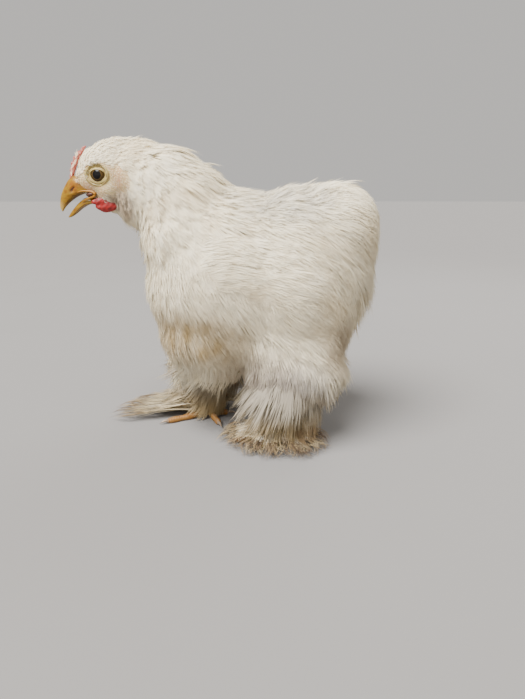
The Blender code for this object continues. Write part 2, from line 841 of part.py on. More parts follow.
def wing_slab(side, flank):
    """The folded wing as a leaf-shaped slab that lies on the flank."""
    spine = [Vector((0, *point)) for point in WING_SPINE]
    shape = bmesh.new()
    rings = []
    for index, (spot, half, thick) in enumerate(zip(spine, WING_HALF, WING_THICK)):
        along = (spine[min(index + 1, len(spine) - 1)] - spine[max(index - 1, 0)]).normalized()
        across = Vector((0, -along.z, along.y))
        outer = []
        inner = []
        for step in range(WING_ACROSS + 1):
            share = 2 * step / WING_ACROSS - 1
            point = spot + across * half * share
            hit = flank.shot(Vector((side * 200, point.y, point.z)), Vector((-side, 0, 0)))
            reach = abs(hit.x) if hit else 20
            outer.append(Vector((side * (reach + thick * (1 - 0.5 * share ** 2)), point.y, point.z)))
            inner.append(Vector((side * (reach - 4), point.y, point.z)))
        rings.append(outer + inner[::-1])
    add_loft(shape, rings)
    return make_object("wing", shape)


def make_wing(side, name, coat, neighbours, draw):
    """A thin folded wing on the flank with its tiers of feathers."""
    wing = wing_slab(side, Skin(coat))
    wing.name = name
    feathers = wing_feathers(side, Skin(coat, wing), draw)
    for neighbour in neighbours:
        carve(wing, grown_copy(neighbour, GAP))
    keep_largest(wing)
    fuse(wing, feathers)
    return wing


def make_fluff(name, centre, torso, draw):
    """The loose feathers round the thigh, cut clear of the belly."""
    fluff = mass_form(name, ((centre, FLUFF_SIZE, 0),), 3, 260)
    fuse(fluff, fluff_locks(Skin(fluff), centre, draw))
    carve(fluff, grown_copy(torso, GAP))
    keep_largest(fluff)
    return fluff


def dress(obj, name):
    """Give an object one finish."""
    obj.data.materials.clear()
    obj.data.materials.append(finish(name))


def part_coat():
    """Neck, torso and tail as one coat, parted by thin cuts, and its smooth skin."""
    skin = mass_form("skin", COAT_MASSES, 3, 100000, rounds=25)
    nodes = {}
    for name, cuts, faces in (
        ("neck", ((HEAD_CUT, False), (NECK_CUT, True)), 420),
        ("torso", ((NECK_CUT, False), (TAIL_CUT, False)), 1350),
        ("tail", ((TAIL_CUT, True), (NECK_CUT, False)), 420),
    ):
        piece = bpy.data.objects.new(name, skin.data.copy())
        bpy.context.scene.collection.objects.link(piece)
        reduce_to(piece, faces)
        for cut, keep_front in cuts:
            slice_off(piece, cut, keep_front)
        nodes[name] = piece
    return skin, nodes


def build():
    for obj in list(bpy.data.objects):
        bpy.data.objects.remove(obj)
    draw = random.Random(FEATHER_SEED)
    coat, nodes = part_coat()
    skin = Skin(coat)
    wings = []
    for side_name, side in SIDES.items():
        neighbours = (nodes["torso"], nodes["tail"], nodes["neck"])
        wing = make_wing(side, "wing_" + side_name, coat, neighbours, draw)
        dress(wing, "plumage")
        wings.append(wing)
    fuse(nodes["neck"], hackles(skin, draw))
    fuse(nodes["tail"], cushion(skin, draw))
    for node in nodes.values():
        dress(node, "plumage")
    discard(coat)
    dress(make_head(), "face_skin")
    for side_name, side in SIDES.items():
        dress(make_eye(side, "eye_" + side_name), "eye")
        wattle = make_wattle(side, "wattle_" + side_name)
        carve(wattle, make_bill("bill_seat", LOWER_BILL, LOWER_TIP, 0.25, GAP))
        dress(wattle, "wattle")
        foot = FEET[side_name]
        fluff = make_fluff("thigh_" + side_name, foot["fluff"], nodes["torso"], draw)
        dress(fluff, "plumage")
        body, claws = make_foot("foot_" + side_name, foot, fluff, draw)
        dress(body, "toes")
        for claw in claws:
            dress(claw, "claws")
    upper = make_bill("bill_upper", UPPER_BILL, UPPER_TIP, 0.25)
    make_nostrils(upper)
    dress(upper, "bill")
    dress(make_bill("bill_lower", LOWER_BILL, LOWER_TIP, 0.25), "bill")
    comb = make_comb("comb")
    carve(comb, make_bill("bill_seat", UPPER_BILL, UPPER_TIP, 0.25, GAP))
    keep_largest(comb)
    dress(comb, "comb")
    for obj in bpy.data.objects:
        obj.location = -MIDDLE * MM


build()
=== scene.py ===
"""The looks of a still, life-size white Cochin bantam pullet that walks with her bill a little open.

Sizes and places are millimetres from the point on the floor under her back, with +Z up, her bill
towards -Y and her left side at +X. MIDDLE is where the frame's origin lies in them, and to_frame
turns them into metres.
"""

import itertools
import math
import random

import bmesh
import bpy
import numpy as np
from mathutils import Matrix, Vector
from mathutils.bvhtree import BVHTree


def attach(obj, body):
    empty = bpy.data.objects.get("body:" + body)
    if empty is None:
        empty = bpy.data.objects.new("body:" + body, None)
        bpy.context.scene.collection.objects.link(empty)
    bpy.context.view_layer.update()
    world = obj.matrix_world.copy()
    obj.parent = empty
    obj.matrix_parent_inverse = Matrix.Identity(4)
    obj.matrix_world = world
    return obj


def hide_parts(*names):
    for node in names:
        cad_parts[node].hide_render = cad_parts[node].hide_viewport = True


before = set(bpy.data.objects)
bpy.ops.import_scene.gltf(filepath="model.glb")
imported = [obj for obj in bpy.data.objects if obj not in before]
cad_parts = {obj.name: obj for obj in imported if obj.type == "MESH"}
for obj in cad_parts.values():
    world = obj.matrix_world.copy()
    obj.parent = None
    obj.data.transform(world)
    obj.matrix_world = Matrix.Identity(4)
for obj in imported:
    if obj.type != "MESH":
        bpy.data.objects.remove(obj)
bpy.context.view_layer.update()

MM = 0.001
MIDDLE = Vector((0, -29, 0))
SIDES = {"left": 1, "right": -1}
UP = Vector((0, 0, 1))

# Rounded masses of the coat's outer form: centre and half sizes.
BODY_MASSES = (
    ((0, -20, 112), (58, 64, 65)),
    ((0, 22, 112), (59, 52, 66)),
    ((0, -48, 138), (44, 38, 42)),
    ((0, -35, 76), (48, 42, 31)),
    ((0, 30, 78), (46, 34, 33)),
    ((0, 50, 145), (43, 34, 37)),
    ((0, 58, 152), (31, 25, 28.5)),
    ((0, 38, 146), (36, 26, 34)),
    ((0, 51, 122), (40, 29, 36)),
    ((0, -52, 162), (36, 35, 35)),
    ((0, -67, 177.8), (28, 29, 29)),
    ((0, -81, 186.6), (21, 23, 23)),
    ((0, -93, 190.8), (14, 24, 20.5)),
    ((0, -87, 166), (16, 15, 16)),
    ((32, 24, 54), (25, 35, 23)),
    ((-29, -38, 50), (25, 38, 24)),
    ((36, 20, 74), (17, 36, 22)),
    ((-33, -30, 72), (17, 34, 22)),
)
HEAD_MASSES = (
    ((0, -101, 189), (14.6, 25, 20)),
    ((0, -113, 184), (12, 15, 13)),
    ((0, -102, 178), (13.6, 15, 12.5)),
    ((0, -103, 170), (9.6, 14, 9)),
)
SKIN_VOXEL = 1.4
SKIN_ROUNDS = 60

# The head's skin is smoothed less, by this share, from here forward and over a short stretch.
HEAD_START = -90
HEAD_BLEND = 8
HEAD_SOFTNESS = 0.12

# The coat at named places of one side: place, lie of the feathers, their length and half width, the depth of
# the coat, and how loose its barbs are. What lies between is blended.
COAT_SPOTS = {
    "brow": ((5, -122, 198), (0.2, 0.75, 0.6), 4, 1.1, 0.5, 0.3),
    "crown": ((0, -112, 208), (0, 1, 0.15), 7, 1.7, 1.6, 0.4),
    "over eye": ((12, -110, 195.5), (0.3, 0.9, 0.2), 4.5, 1.1, 0.5, 0.3),
    "crown side": ((9, -104, 203), (0.3, 0.9, -0.1), 7, 1.7, 1.4, 0.3),
    "cheek": ((13, -93, 178), (0.1, 0.8, -0.6), 7, 1.5, 0.9, 0.4),
    "face": ((13, -112, 180), (0.1, 0.9, -0.2), 2.5, 0.6, 0.2, 0.2),
    "throat": ((3, -106, 161), (0, 0.5, -0.85), 6, 1.4, 0.8, 0.5),
    "nape": ((0, -86, 210), (0, 1, 0.05), 15, 2.2, 3, 0.8),
    "neck top": ((0, -64, 205), (0, 0.85, -0.5), 22, 3, 5, 0.7),
    "hackle side": ((22, -76, 184), (0.15, 0.62, -0.75), 20, 2.8, 4, 0.3),
    "hackle low": ((30, -58, 165), (0.2, 0.7, -0.7), 24, 3.4, 5.5, 0.35),
    "neck front": ((6, -94, 160), (0.1, 0.25, -1), 12, 2.6, 3, 0.5),
    "shoulders": ((0, -28, 184), (0, 1, -0.25), 24, 4.5, 7, 0.35),
    "back": ((0, 6, 177), (0, 1, 0.05), 22, 5, 6.4, 0.4),
    "saddle top": ((0, 22, 178), (0, 1, -0.05), 17, 4.2, 4.6, 0.25),
    "saddle side": ((34, 5, 165), (0.25, 0.85, -0.45), 24, 4.8, 7, 0.4),
    "cushion front": ((0, 38, 179), (0, 1, 0), 17, 4.4, 4.8, 0.25),
    "cushion top": ((0, 58, 180), (0, 0.9, -0.3), 18, 4.6, 5.2, 0.25),
    "cushion crest": ((0, 74, 170), (0, 0.65, -0.75), 20, 5, 6.4, 0.3),
    "cushion rear": ((0, 86, 142), (0, 0.25, -1), 26, 5.5, 9, 1),
    "cushion side": ((40, 56, 140), (0.1, 0.6, -0.8), 26, 5.5, 9, 0.7),
    "vent": ((12, 76, 98), (0, 0.2, -1), 22, 5.5, 9, 0.9),
    "breast front": ((8, -86, 120), (0.15, 0.2, -1), 20, 5, 7, 0.6),
    "breast low": ((12, -76, 70), (0.1, 0.3, -1), 22, 5.5, 8, 0.9),
    "breast side": ((45, -50, 125), (0.1, 0.6, -0.8), 24, 5, 7, 0.45),
    "flank front": ((54, -28, 90), (0, 0.5, -0.9), 32, 5.2, 8, 0.6),
    "flank": ((58, 10, 108), (0, 0.75, -0.65), 26, 5.2, 8, 0.5),
    "flank rear": ((46, 52, 92), (0, 0.5, -0.85), 32, 5.5, 9, 0.8),
    "belly": ((14, -8, 48), (0, 0.5, -0.9), 18, 5, 7, 1),
    "belly front": ((16, -36, 48), (0, -0.75, -1), 30, 5, 7, 1),
    "thigh left": ((56, 24, 46), (0.05, 0, -1), 18, 4.6, 7, 1),
    "thigh front": ((40, -6, 48), (0.05, -0.45, -1), 24, 4.6, 7, 1),
    "thigh rear": ((36, 56, 44), (0, 0.25, -1), 15, 4.6, 7, 1),
    "thigh inner": ((8, 24, 44), (-0.1, 0.1, -1), 20, 4.6, 6, 1),
    "far thigh front": ((24, -68, 48), (0.1, -0.55, -1), 30, 4.4, 7, 1),
    "far thigh side": ((52, -34, 46), (0.2, -0.2, -1), 27, 4.6, 7, 1),
}
# The bare face: lores and cheek, the ear, and the corner of the gape; middle and reach of each.
BARE_PLACES = (
    ((13, -110, 182.5), (10, 23, 14)),
    ((14, -93, 183), (10, 10, 11)),
    ((8, -116, 173), (9, 9, 6)),
    ((9, -122, 180), (8, 9, 9)),
    ((13, -110.6, 185.6), (10, 13.4, 9.8)),
    ((13, -98, 187.5), (8, 9, 6.5)),
)

# Where a root's feather goes: names of the coat's pieces, and the middle of each.
COAT_PIECES = {
    "coat_head_left": ((10, -108, 190),),
    "coat_head_right": ((-10, -108, 190),),
    "coat_neck_left": ((24, -70, 180),),
    "coat_neck_right": ((-24, -70, 180),),
    "coat_breast_left": ((30, -66, 112),),
    "coat_breast_right": ((-30, -66, 112),),
    "coat_back": ((0, -10, 180), (0, 20, 178)),
    "coat_cushion_left": ((26, 62, 156),),
    "coat_cushion_right": ((-26, 62, 156),),
    "coat_flank_left": ((56, 0, 110),),
    "coat_flank_right": ((-56, 0, 110),),
    "coat_rear_left": ((34, 60, 96),),
    "coat_rear_right": ((-34, 60, 96),),
    "coat_belly": ((0, 0, 46), (0, -30, 46)),
    "coat_thigh_left": ((40, 24, 42),),
    "coat_thigh_right": ((-38, -34, 42),),
}

# The coat: its seed, how softly its spots blend, and how close its roots stand. Under the belly,
# within this height and half width, they stand further apart.
COAT_SEED = 11
SPOT_BLEND = 9
ROOT_SPREAD = 0.256
LEAST_SPREAD = 1.15
BELLY_SPREAD = 1.9
BELLY_TOP = 62
BELLY_HALF_WIDTH = 26
BARE_LIMIT = 0.7
ROOT_TRIES = 5

# How feathers vary: where the barbs are loose their lengths are ragged and some are long. They
# gather in clumps, but for short ones, and a few wisps stand out of the close coat.
LIE_SCATTER = 0.15
RAGGED_FROM = 0.93
RAGGED_LENGTHS = (0.5, 1.2)
EVEN_LENGTHS = (0.85, 1.15)
LONG_SHARE = 0.3
LONG_TIMES = 1.6
CLUMP_SPREAD = 13
CLUMPING = 0.42
LEAST_CLUMPED = 14
WISP_SHARE = 0.05
WISP_COAT = 5.2
WISP_TIMES = 1.7
WISP_LOOSE = 0.3

# The barbs of a feather, their width, and the same for the head.
BODY_BARBS = 13
HEAD_BARBS = 7
BODY_BARB_WIDTH = 0.7
HEAD_BARB_WIDTH = 0.34

# Hairs of the face and the comb, and the strands of a foot: how close or how many, lengths, half
# width, depth and looseness, and the count, width and seed of their barbs.
FACE_HAIR_SPREAD = 1.35
FACE_HAIR_LENGTHS = (1.8, 3.6)
FACE_HAIR_SCATTER = 0.25
FACE_HAIR_HALF = 0.5
FACE_HAIR_COAT = (0.5, 0.6)
FACE_HAIR_BARBS = (3, 0.13, 6)
COMB_HAIRS = 18
COMB_HAIR_LENGTHS = (3.5, 6)
COMB_HAIR_HALF = 0.6
COMB_HAIR_COAT = (0.3, 0.5)
COMB_HAIR_BARBS = (3, 0.26, 8)
STRANDS = 150
STRAND_HALF = 0.8
STRAND_COAT = (0.2, 0.6)
STRAND_BARBS = (5, 0.3, 97)
STRAND_FLOOR = 0.15

# How far a feather strays from its even place in a row, and its root's height on the shank.
ROW_STRAY = (-0.4, 0.4)
HEIGHT_STRAY = (-3, 3)

# A feather is laid as a grid of stations along it and columns across it. Low feathers and those of
# the rear hang where they leave the skin, and hold to it by a small share.
STATIONS = 5
STRETCHES = [station / (STATIONS - 1) for station in range(STATIONS)]
COLUMNS = (-1, 0, 1)
HANG_BELOW = 66
REAR_HANG_BELOW = 122
REAR_START = 62
HANGING = 0.25
HANG_SLOPE = -0.3
LOWEST_FEATHER = 1.5

# A feather's barbs: places of the four stations, widths at the first three, the scatter of their
# ends, reaches and starts, their sweep and curl, and how they rise off the skin.
BARB_STEPS = (0, 0.38, 0.74, 1)
BARB_SPANS = (0.5, 1, 0.62)
BARB_POINTS = 10
END_SCATTER = 0.09
REACH_SCATTER = 0.12
REACH_DRIFT = 0.16
START_SCATTER = 0.04
LONGEST_BARB = 1.15
SWEEP = 0.85
CURL = 0.16
RISE = 0.75
CROWN = 0.2
CROWN_FALL = 0.35
WIDEST_CROWN = 3
SOFT_CURL = 2.5
MOST_STRAY = 1.5
STRAY_LIFT = 0.05
TIER_LIFT = 0.8
TWIST = 0.35
RIDGE = 0.6
SIDE_LEAN = 0.3
BARB_WIDTHS = (0.7, 1.3)
MAP_SPREAD = 0.0014
NO_LENGTH = 1e-9

# The eye: cornea, ball, how far its axis turns forward, and how near to it no hair grows.
EYE = Vector((13.6, -110.6, 185.6))
EYE_RADIUS = 6.2
EYE_TURN = 10
IRIS_RADIUS = 4.7
PUPIL_RADIUS = 2.9
EYE_SEAT = 6.4
EYE_CLEARANCE = 10

# The lids: reach of their opening and of their outer edge, with what the corners add and the brow
# takes off; gap to the ball, least depth, thickness, and how much lighter the painted crease shade is
# under the brow; and the folds from the rim to the face: share of the way out, height over the skin,
# and how dark their painted shade is.
LID_RINGS = 22
LID_SIDES = 72
LID_OPENING = (4.5, 0.6, 1.3)
LID_EDGE = (8, 1.7, 1.0)
LID_GAP = 0.1
LID_SEAT = 2.4
LID_THICK = 0.5
BROW_LIGHT = 0.85
LID_ROUNDS = 4
LID_FOLDS = (
    (0, 0.2, 1),
    (0.06, 0.75, 0.2),
    (0.2, 1.05, 0),
    (0.36, 0.9, 0),
    (0.47, 0.2, 0.8),
    (0.5, 0.15, 1),
    (0.58, 0.62, 0.2),
    (0.68, 0.6, 0),
    (0.76, 0.2, 0.9),
    (0.84, 0.35, 0.1),
    (1, -0.3, 0),
)

# The bill in the mid plane: ridge, cutting edge and half width, from the root to the tip.
UPPER_BILL = (
    ((-119, 185), (-111, 176), 8.2),
    ((-129.5, 185.3), (-119.5, 174.7), 7.6),
    ((-133.4, 183.2), (-124, 174.0), 6.7),
    ((-136.6, 179), (-128.5, 172.4), 5.5),
    ((-139.6, 173.6), (-132.5, 170), 4.2),
    ((-141.2, 168), (-136, 167), 2.8),
    ((-141.5, 164.6), (-138.6, 164), 1.5),
    ((-140.6, 161.8), (-139.9, 161.6), 0.5),
)
LOWER_BILL = (
    ((-109, 172.4), (-108, 166.2), 6.6),
    ((-119, 171.6), (-117, 166.8), 6),
    ((-124, 170.2), (-122, 166.3), 5),
    ((-128.5, 167), (-126.8, 163.6), 3.9),
    ((-132.5, 163), (-130.8, 160.3), 2.7),
    ((-135, 160), (-133.9, 158.2), 1.5),
    ((-136.4, 157.9), (-136.1, 157.4), 0.5),
)
BILL_RINGS = 44
BILL_SIDES = 36
BILL_UNDERSIDE = 5
BILL_ARCH = 0.75
BILL_HOLLOW = 0.25
THINNEST_BILL = 0.35

# The nostril's slit: its middle, half sizes and tilt, how deep it is and how high its lip stands, and
# the least distance from the mid plane.
NOSTRIL = ((-130.2, 176.6), (3.2, 0.8), 48)
NOSTRIL_DEPTH = 1.7
NOSTRIL_LIP = 0.3
NOSTRIL_ASIDE = 1.5

# The yellow fold that joins the bill's halves at the corner of the gape: place and radius.
GAPE_LINE = (
    (5.6, -127.5, 174, 0.2),
    (7.4, -123.5, 175.1, 0.5),
    (8.4, -118.7, 175.1, 0.65),
    (9, -115.1, 174.4, 0.85),
    (9, -113.7, 172.9, 0.85),
    (8.1, -115.5, 171.5, 0.8),
    (6.8, -119.5, 170.3, 0.6),
    (5, -124.5, 168.6, 0.3),
)
GAPE_RINGS = 26
GAPE_SIDES = 12

# The mouth: middle and half sizes of its masses, dark as painted shade inside the open bill, and how they
# tilt.
MOUTH_MASSES = (
    ((0, -114, 173.4), (5.4, 8, 3.2)),
    ((0, -116.6, 173.3), (9.6, 5.6, 2.2)),
)
MOUTH_TILT = 8

# The tongue in the mid plane: where it starts, how far it reaches and droops, and its half width.
TONGUE_START = (-110, 171.6)
TONGUE_REACH = 15
TONGUE_DROOP = 1.5
TONGUE_HALF = 2.4
TONGUE_RINGS = 8
TONGUE_SIDES = 12

# The comb: the line that it stands on, its height, points and thickness, and how deep it is set.
COMB_LINE = ((-133.2, 182), (-129.6, 189.6), (-126, 197.2), (-120.8, 205))
COMB_HEIGHT = 4.6
COMB_POINTS = 6
COMB_THICK = 2.6
COMB_SINK = 1.2
COMB_WAVE = 4
COMB_SIDES = 8
COMB_LEAN = 0.25

# The lobes of the left wattle: middle, half sizes and tilt.
WATTLE_LOBES = (
    ((7.4, -106.5, 165.9), (2.1, 8.2, 4.6), 5),
    ((8, -111.2, 168.7), (1.5, 6.2, 2.2), 10),
)

# How wattle and leg are fused: size of the voxels and rounds of smoothing.
WATTLE_FUSING = (0.45, 6)
LEG_FUSING = (0.6, 4)

# Grains and folds of the flesh: height, size and seed of their waves.
LID_GRAIN = (0.1, 1.2, 3)
GAPE_GRAIN = (0.22, 1.7, 4)
COMB_GRAIN = (0.35, 1.3, 5)
WATTLE_GRAIN = (0.5, 3.2, 8)
GRAIN_WAVES = 7

# The folded wing from the shoulder to its tip: middle line, half width and thickness on the flank.
WING_SPINE = ((-46, 131), (-36, 131), (-16, 127), (8, 121), (30, 114), (46, 107))
WING_HALF = (7, 15, 23, 24, 19, 10)
WING_THICK = (1.5, 3, 4, 4, 3.5, 2.5)

# The wing's tiers: place along its middle line, count, length and half width of the feathers.
WING_COVERTS = (
    (0.05, 16, 18, 4.6),
    (0.14, 20, 20, 4.6),
    (0.23, 22, 22, 4.8),
    (0.32, 24, 24, 4.8),
    (0.42, 24, 26, 5),
    (0.52, 24, 26, 5),
    (0.62, 22, 26, 4.8),
)
WING_FLIGHTS = (
    (0.56, 9, 32, 4.4),
    (0.74, 7, 36, 4),
)

# The wing's feathers: depth, looseness and how far their roots stray, and the count, width and seed
# of their barbs. Rays towards the flank start WING_ASIDE out from the mid plane.
FLIGHT_COAT = (2.2, 0.25, 0)
FLIGHT_BARBS = (12, 1.5, 60)
COVERT_COAT = (5, 0.5, 1)
COVERT_BARBS = (17, 0.7, 70)
WING_ASIDE = 200
WING_RINGS = 18
WING_STEPS = 8
WING_INSIDE = 2

# Each foot: junction of the toes, hock, tips of the toes and the outline through its feathers' tips.
FEET = {
    "left": {
        "junction": (21, 9, 6.5),
        "hock": (30, 42, 45),
        "toes": {"middle": (36, -26), "inner": (11, -20), "outer": (51, -6), "hind": (16, 31)},
        "fan": ((14, -27), (33, -29), (51, -15), (58, 6), (58, 30), (44, 43), (28, 47)),
    },
    "right": {
        "junction": (-18, -43, 6.5),
        "hock": (-25, -10, 42),
        "toes": {"middle": (3, -81), "inner": (10, -31), "outer": (-37, -74), "hind": (-19, -21)},
        "fan": ((-4, -112), (-25, -116), (-46, -104), (-59, -82), (-62, -55), (-55, -30), (-40, -14)),
    },
}

# The shank's radii at shares of its length, how wide its scutes reach, and the pad, toes and claws.
SHANK_SHARES = (0, 0.2, 0.5, 0.85, 1)
SHANK_RADII = (3.7, 4.6, 4.4, 4.8, 5)
SHANK_SCUTES = 4.6
SHANK_RINGS = 20
SHANK_SIDES = 16
SHANK_REACH = (-0.06, 1.15)
FOOT_PAD = (6.4, 7, 4.6)
TOE_RADIUS = 2.4
TOE_DROP = 1.6
TOE_RINGS = 28
TOE_SIDES = 14
TOE_PADS = 3
CLAW_LENGTH = 7
CLAW_RADIUS = 1.5
CLAW_RINGS = 12
CLAW_SIDES = 12
CLAW_SET_IN = 1.2
CLAW_ARCH = 0.9
CLAW_DROOP = 1.1

# The scutes: how far apart and how thick they are, how far they stand off, their width and tilt.
SCUTE_SPACING = 1.35
SCUTE_THICK = 1.0
SCUTE_LIFT = 0.35
SCUTE_WIDTH = 1.02
SCUTE_TILT = 12

# Feathers of each foot, outermost first: count, height of the roots on the shank, share of the way
# to the fan's outline, and half width. The far foot's upper ones are held up off the lower.
FOOT_FEATHERS = {
    "left": (
        (60, 6, 1, 2.6),
        (50, 12, 0.86, 2.8),
        (42, 19, 0.7, 3),
        (36, 27, 0.56, 3.2),
        (34, 35, 0.5, 3.2),
    ),
    "right": (
        (60, 6, 1, 2.6),
        (50, 12, 0.88, 2.8),
        (42, 19, 0.78, 3),
        (38, 27, 0.7, 3.2),
        (36, 35, 0.64, 3.2),
    ),
}
FOOT_LIFT = {"left": 0, "right": 0.45}
FOOT_ARCH = 4.5
FOOT_COAT = (0.4, 1.1)
FOOT_BARBS = (11, 0.55, 90)
FOOT_FLOOR = 0.15

# Loose feathers round the shank: height of the roots, feathers, length, half width, distance from the shank.
LEG_TIERS = (
    (54, 46, 35, 4.4, 18),
    (46, 42, 31, 4.2, 14),
    (39, 38, 28, 4.2, 12),
    (32, 36, 26, 4, 9),
    (25, 34, 23, 3.8, 7),
    (18, 30, 19, 3.6, 5.5),
    (12, 24, 14, 3.4, 4),
)
LEG_COAT = (0.6, 1)
LEG_BARBS = (13, 0.8, 95)
LEG_FLOOR = 0.3
LEG_TOP = {"left": Vector((31, 15, 48)), "right": Vector((-28, -38, 45))}
LEG_LEAN = {"left": Vector((0.05, -0.45, 0)), "right": Vector((0.05, -0.75, 0))}

# The far leg's feathers lean further towards the front where their roots stand over this height.
HIGH_LEAN = {"left": 0, "right": 1.8}
HIGH_TIERS = 36
LOWEST_SLEEVE = 1.6

# The camera, in metres of the frame, looks across at her left side and down a little.
CAMERA_PLACE = Vector((0.381, 0.029, 0.17))
CAMERA_PITCH = 16
CAMERA_LENS = 27.04
SENSOR_WIDTH = 36

# The light, in metres and watts: a broad sun, two soft lamps with their places, aims, sizes and powers,
# and the world's.
SUN_PLACE = (0.55, -0.42, 1.12)
SUN_STRENGTH = 10.8
SUN_ANGLE = 40
FILL_LIGHT = ((1.6, -0.6, 0.7), (0, 0, 0.06), 3, 20)
RIM_LIGHT = ((-0.6, 0.5, 0.8), (0, 0, 0.12), 0.6, 4)
WORLD_COLOUR = (1, 0.97, 0.93, 1)
WORLD_STRENGTH = 0.62
FLOOR_RADIUS = 40


def to_frame(points):
    """Millimetres from under her back, as metres of the frame."""
    return (np.asarray(points, dtype=float) - np.array(MIDDLE)) * MM


def spot(point):
    return (Vector(point) - MIDDLE) * MM


class Wire:
    """A socket of a shader tree; arithmetic on it adds Math nodes."""

    def __init__(self, paint, socket):
        self.paint = paint
        self.socket = socket

    def maths(self, operation, first, second=0.0):
        return self.paint.node("ShaderNodeMath", {"operation": operation}, {0: first, 1: second})

    def __add__(self, other):
        return self.maths("ADD", self, other)

    __radd__ = __add__

    def __mul__(self, other):
        return self.maths("MULTIPLY", self, other)

    __rmul__ = __mul__

    def __sub__(self, other):
        return self.maths("SUBTRACT", self, other)

    def __rsub__(self, other):
        return self.maths("SUBTRACT", other, self)

    def most(self, other):
        return self.maths("MAXIMUM", self, other)

    def ease(self, low, high):
        """0 below low, 1 above high and a smooth rise between."""
        settings = {"interpolation_type": "SMOOTHSTEP", "clamp": True}
        return self.paint.node("ShaderNodeMapRange", settings, {0: self, 1: low, 2: high, 3: 0.0, 4: 1.0})


class Paint:
    """A finish: its material, its Principled shader and short calls for the nodes that vary it."""

    def __init__(self, name, colour, roughness):
        self.material = bpy.data.materials.new(name)
        self.material.use_nodes = True
        self.tree = self.material.node_tree
        self.shader = self.tree.nodes["Principled BSDF"]
        self.set("Base Color", (*colour, 1))
        self.set("Roughness", roughness)
        self.material.diffuse_color = (*colour, 1)
        self.place = None

    def set(self, socket, value):
        self.feed(self.shader.inputs[socket], value)

    def feed(self, socket, value):
        if isinstance(value, Wire):
            self.tree.links.new(value.socket, socket)
        else:
            socket.default_value = value

    def node(self, kind, settings=None, values=None, output=0):
        """A node with its settings made first and then its sockets' values or links."""
        node = self.tree.nodes.new(kind)
        for name, value in (settings or {}).items():
            setattr(node, name, value)
        for name, value in (values or {}).items():
            self.feed(node.inputs[name], value)
        return Wire(self, node.outputs[output])

    def coords(self):
        """Object coordinates, in metres of the frame."""
        if self.place is None:
            self.place = self.node("ShaderNodeTexCoord", output="Object")
        return self.place

    def share(self, name):
        """A number that the mesh carries at its points."""
        return self.node("ShaderNodeAttribute", {"attribute_name": name}, output="Fac")

    def noise(self, size, detail=3.0, stretch=(1, 1, 1), rough=0.5):
        """Noise whose spots are about so many millimetres across."""
        place = self.node("ShaderNodeMapping", values={"Vector": self.coords(), "Scale": stretch})
        values = {"Vector": place, "Scale": 1 / (size * MM), "Detail": detail, "Roughness": rough}
        return self.node("ShaderNodeTexNoise", values=values)

    def near(self, centre, reach):
        """1 at a place, falling to 0 on the ellipsoid of these half sizes round it."""
        middle = to_frame(centre)
        scale = [1 / (size * MM) for size in reach]
        shift = [-value * factor for value, factor in zip(middle, scale)]
        values = {"Vector": self.coords(), "Scale": scale, "Location": shift}
        place = self.node("ShaderNodeMapping", values=values)
        length = self.node("ShaderNodeVectorMath", {"operation": "LENGTH"}, {0: place}, output="Value")
        return 1 - length.ease(0.35, 1)

    def both(self, centre, reach):
        """The same on either side of her."""
        x, y, z = centre
        return self.near(centre, reach).most(self.near((-x, y, z), reach))

    def mix(self, factor, first, second):
        node = self.tree.nodes.new("ShaderNodeMix")
        node.data_type = "RGBA"
        self.feed(node.inputs["Factor"], factor)
        for socket, value in ((node.inputs[6], first), (node.inputs[7], second)):
            self.feed(socket, value if isinstance(value, Wire) else (*value, 1))
        return Wire(self, node.outputs[2])

    def spotted(self, colour, other, size, edges, strength=1, detail=3.0):
        """A colour with soft spots of another, about so many millimetres across."""
        return self.mix(self.noise(size, detail).ease(*edges) * strength, colour, other)

    def bump(self, height, strength, distance):
        values = {"Height": height, "Strength": strength, "Distance": distance * MM}
        self.set("Normal", self.node("ShaderNodeBump", values=values))

    def grained(self, size, strength, distance, detail=3.0):
        self.bump(self.noise(size, detail), strength, distance)

    def let_light_in(self, weight, radius):
        """How much light goes under the surface, and how many millimetres its colours go."""
        self.set("Subsurface Weight", weight)
        self.set("Subsurface Radius", [reach * MM for reach in radius])

    def let_light_through(self, share, colour):
        """Mix in a Translucent shader, as thin barbs and skin let light through."""
        glow = self.tree.nodes.new("ShaderNodeBsdfTranslucent")
        glow.inputs["Color"].default_value = (*colour, 1)
        mixer = self.tree.nodes.new("ShaderNodeMixShader")
        self.feed(mixer.inputs[0], share)
        self.tree.links.new(self.shader.outputs[0], mixer.inputs[1])
        self.tree.links.new(glow.outputs[0], mixer.inputs[2])
        output = self.tree.nodes["Material Output"]
        self.tree.links.new(mixer.outputs[0], output.inputs["Surface"])


PLUMAGE = (0.98, 0.905, 0.72)
PLUMAGE_ROOT = (0.96, 0.87, 0.65)
CREAM = (0.90, 0.74, 0.46)
TAN = (0.42, 0.285, 0.11)
BROWN = (0.30, 0.19, 0.09)
DIRT = (0.10, 0.065, 0.03)
OLIVE = (0.13, 0.10, 0.045)
# Grey tints feathers at random and is painted shade on thigh and saddle; SHADE is painted shade too.
GREY = (0.42, 0.40, 0.38)
SHADE = (0.38, 0.32, 0.27)
SPECK = (0.17, 0.13, 0.09)
# Dust and painted shade, low on the body.
DUST_AND_SHADE = (0.54, 0.45, 0.34)
FACE = (0.54, 0.41, 0.21)
FACE_PINK = (0.46, 0.25, 0.14)
FACE_YELLOW = (0.50, 0.39, 0.14)
# Painted shade in the rim and creases, lighter under the brow.
CHEEK = (0.60, 0.44, 0.31)
EAR_RED = (0.36, 0.11, 0.06)
FACE_GRAIN = (0.42, 0.22, 0.10)
LID_PALE = (0.37, 0.28, 0.09)
LID_DEEP = (0.35, 0.235, 0.08)
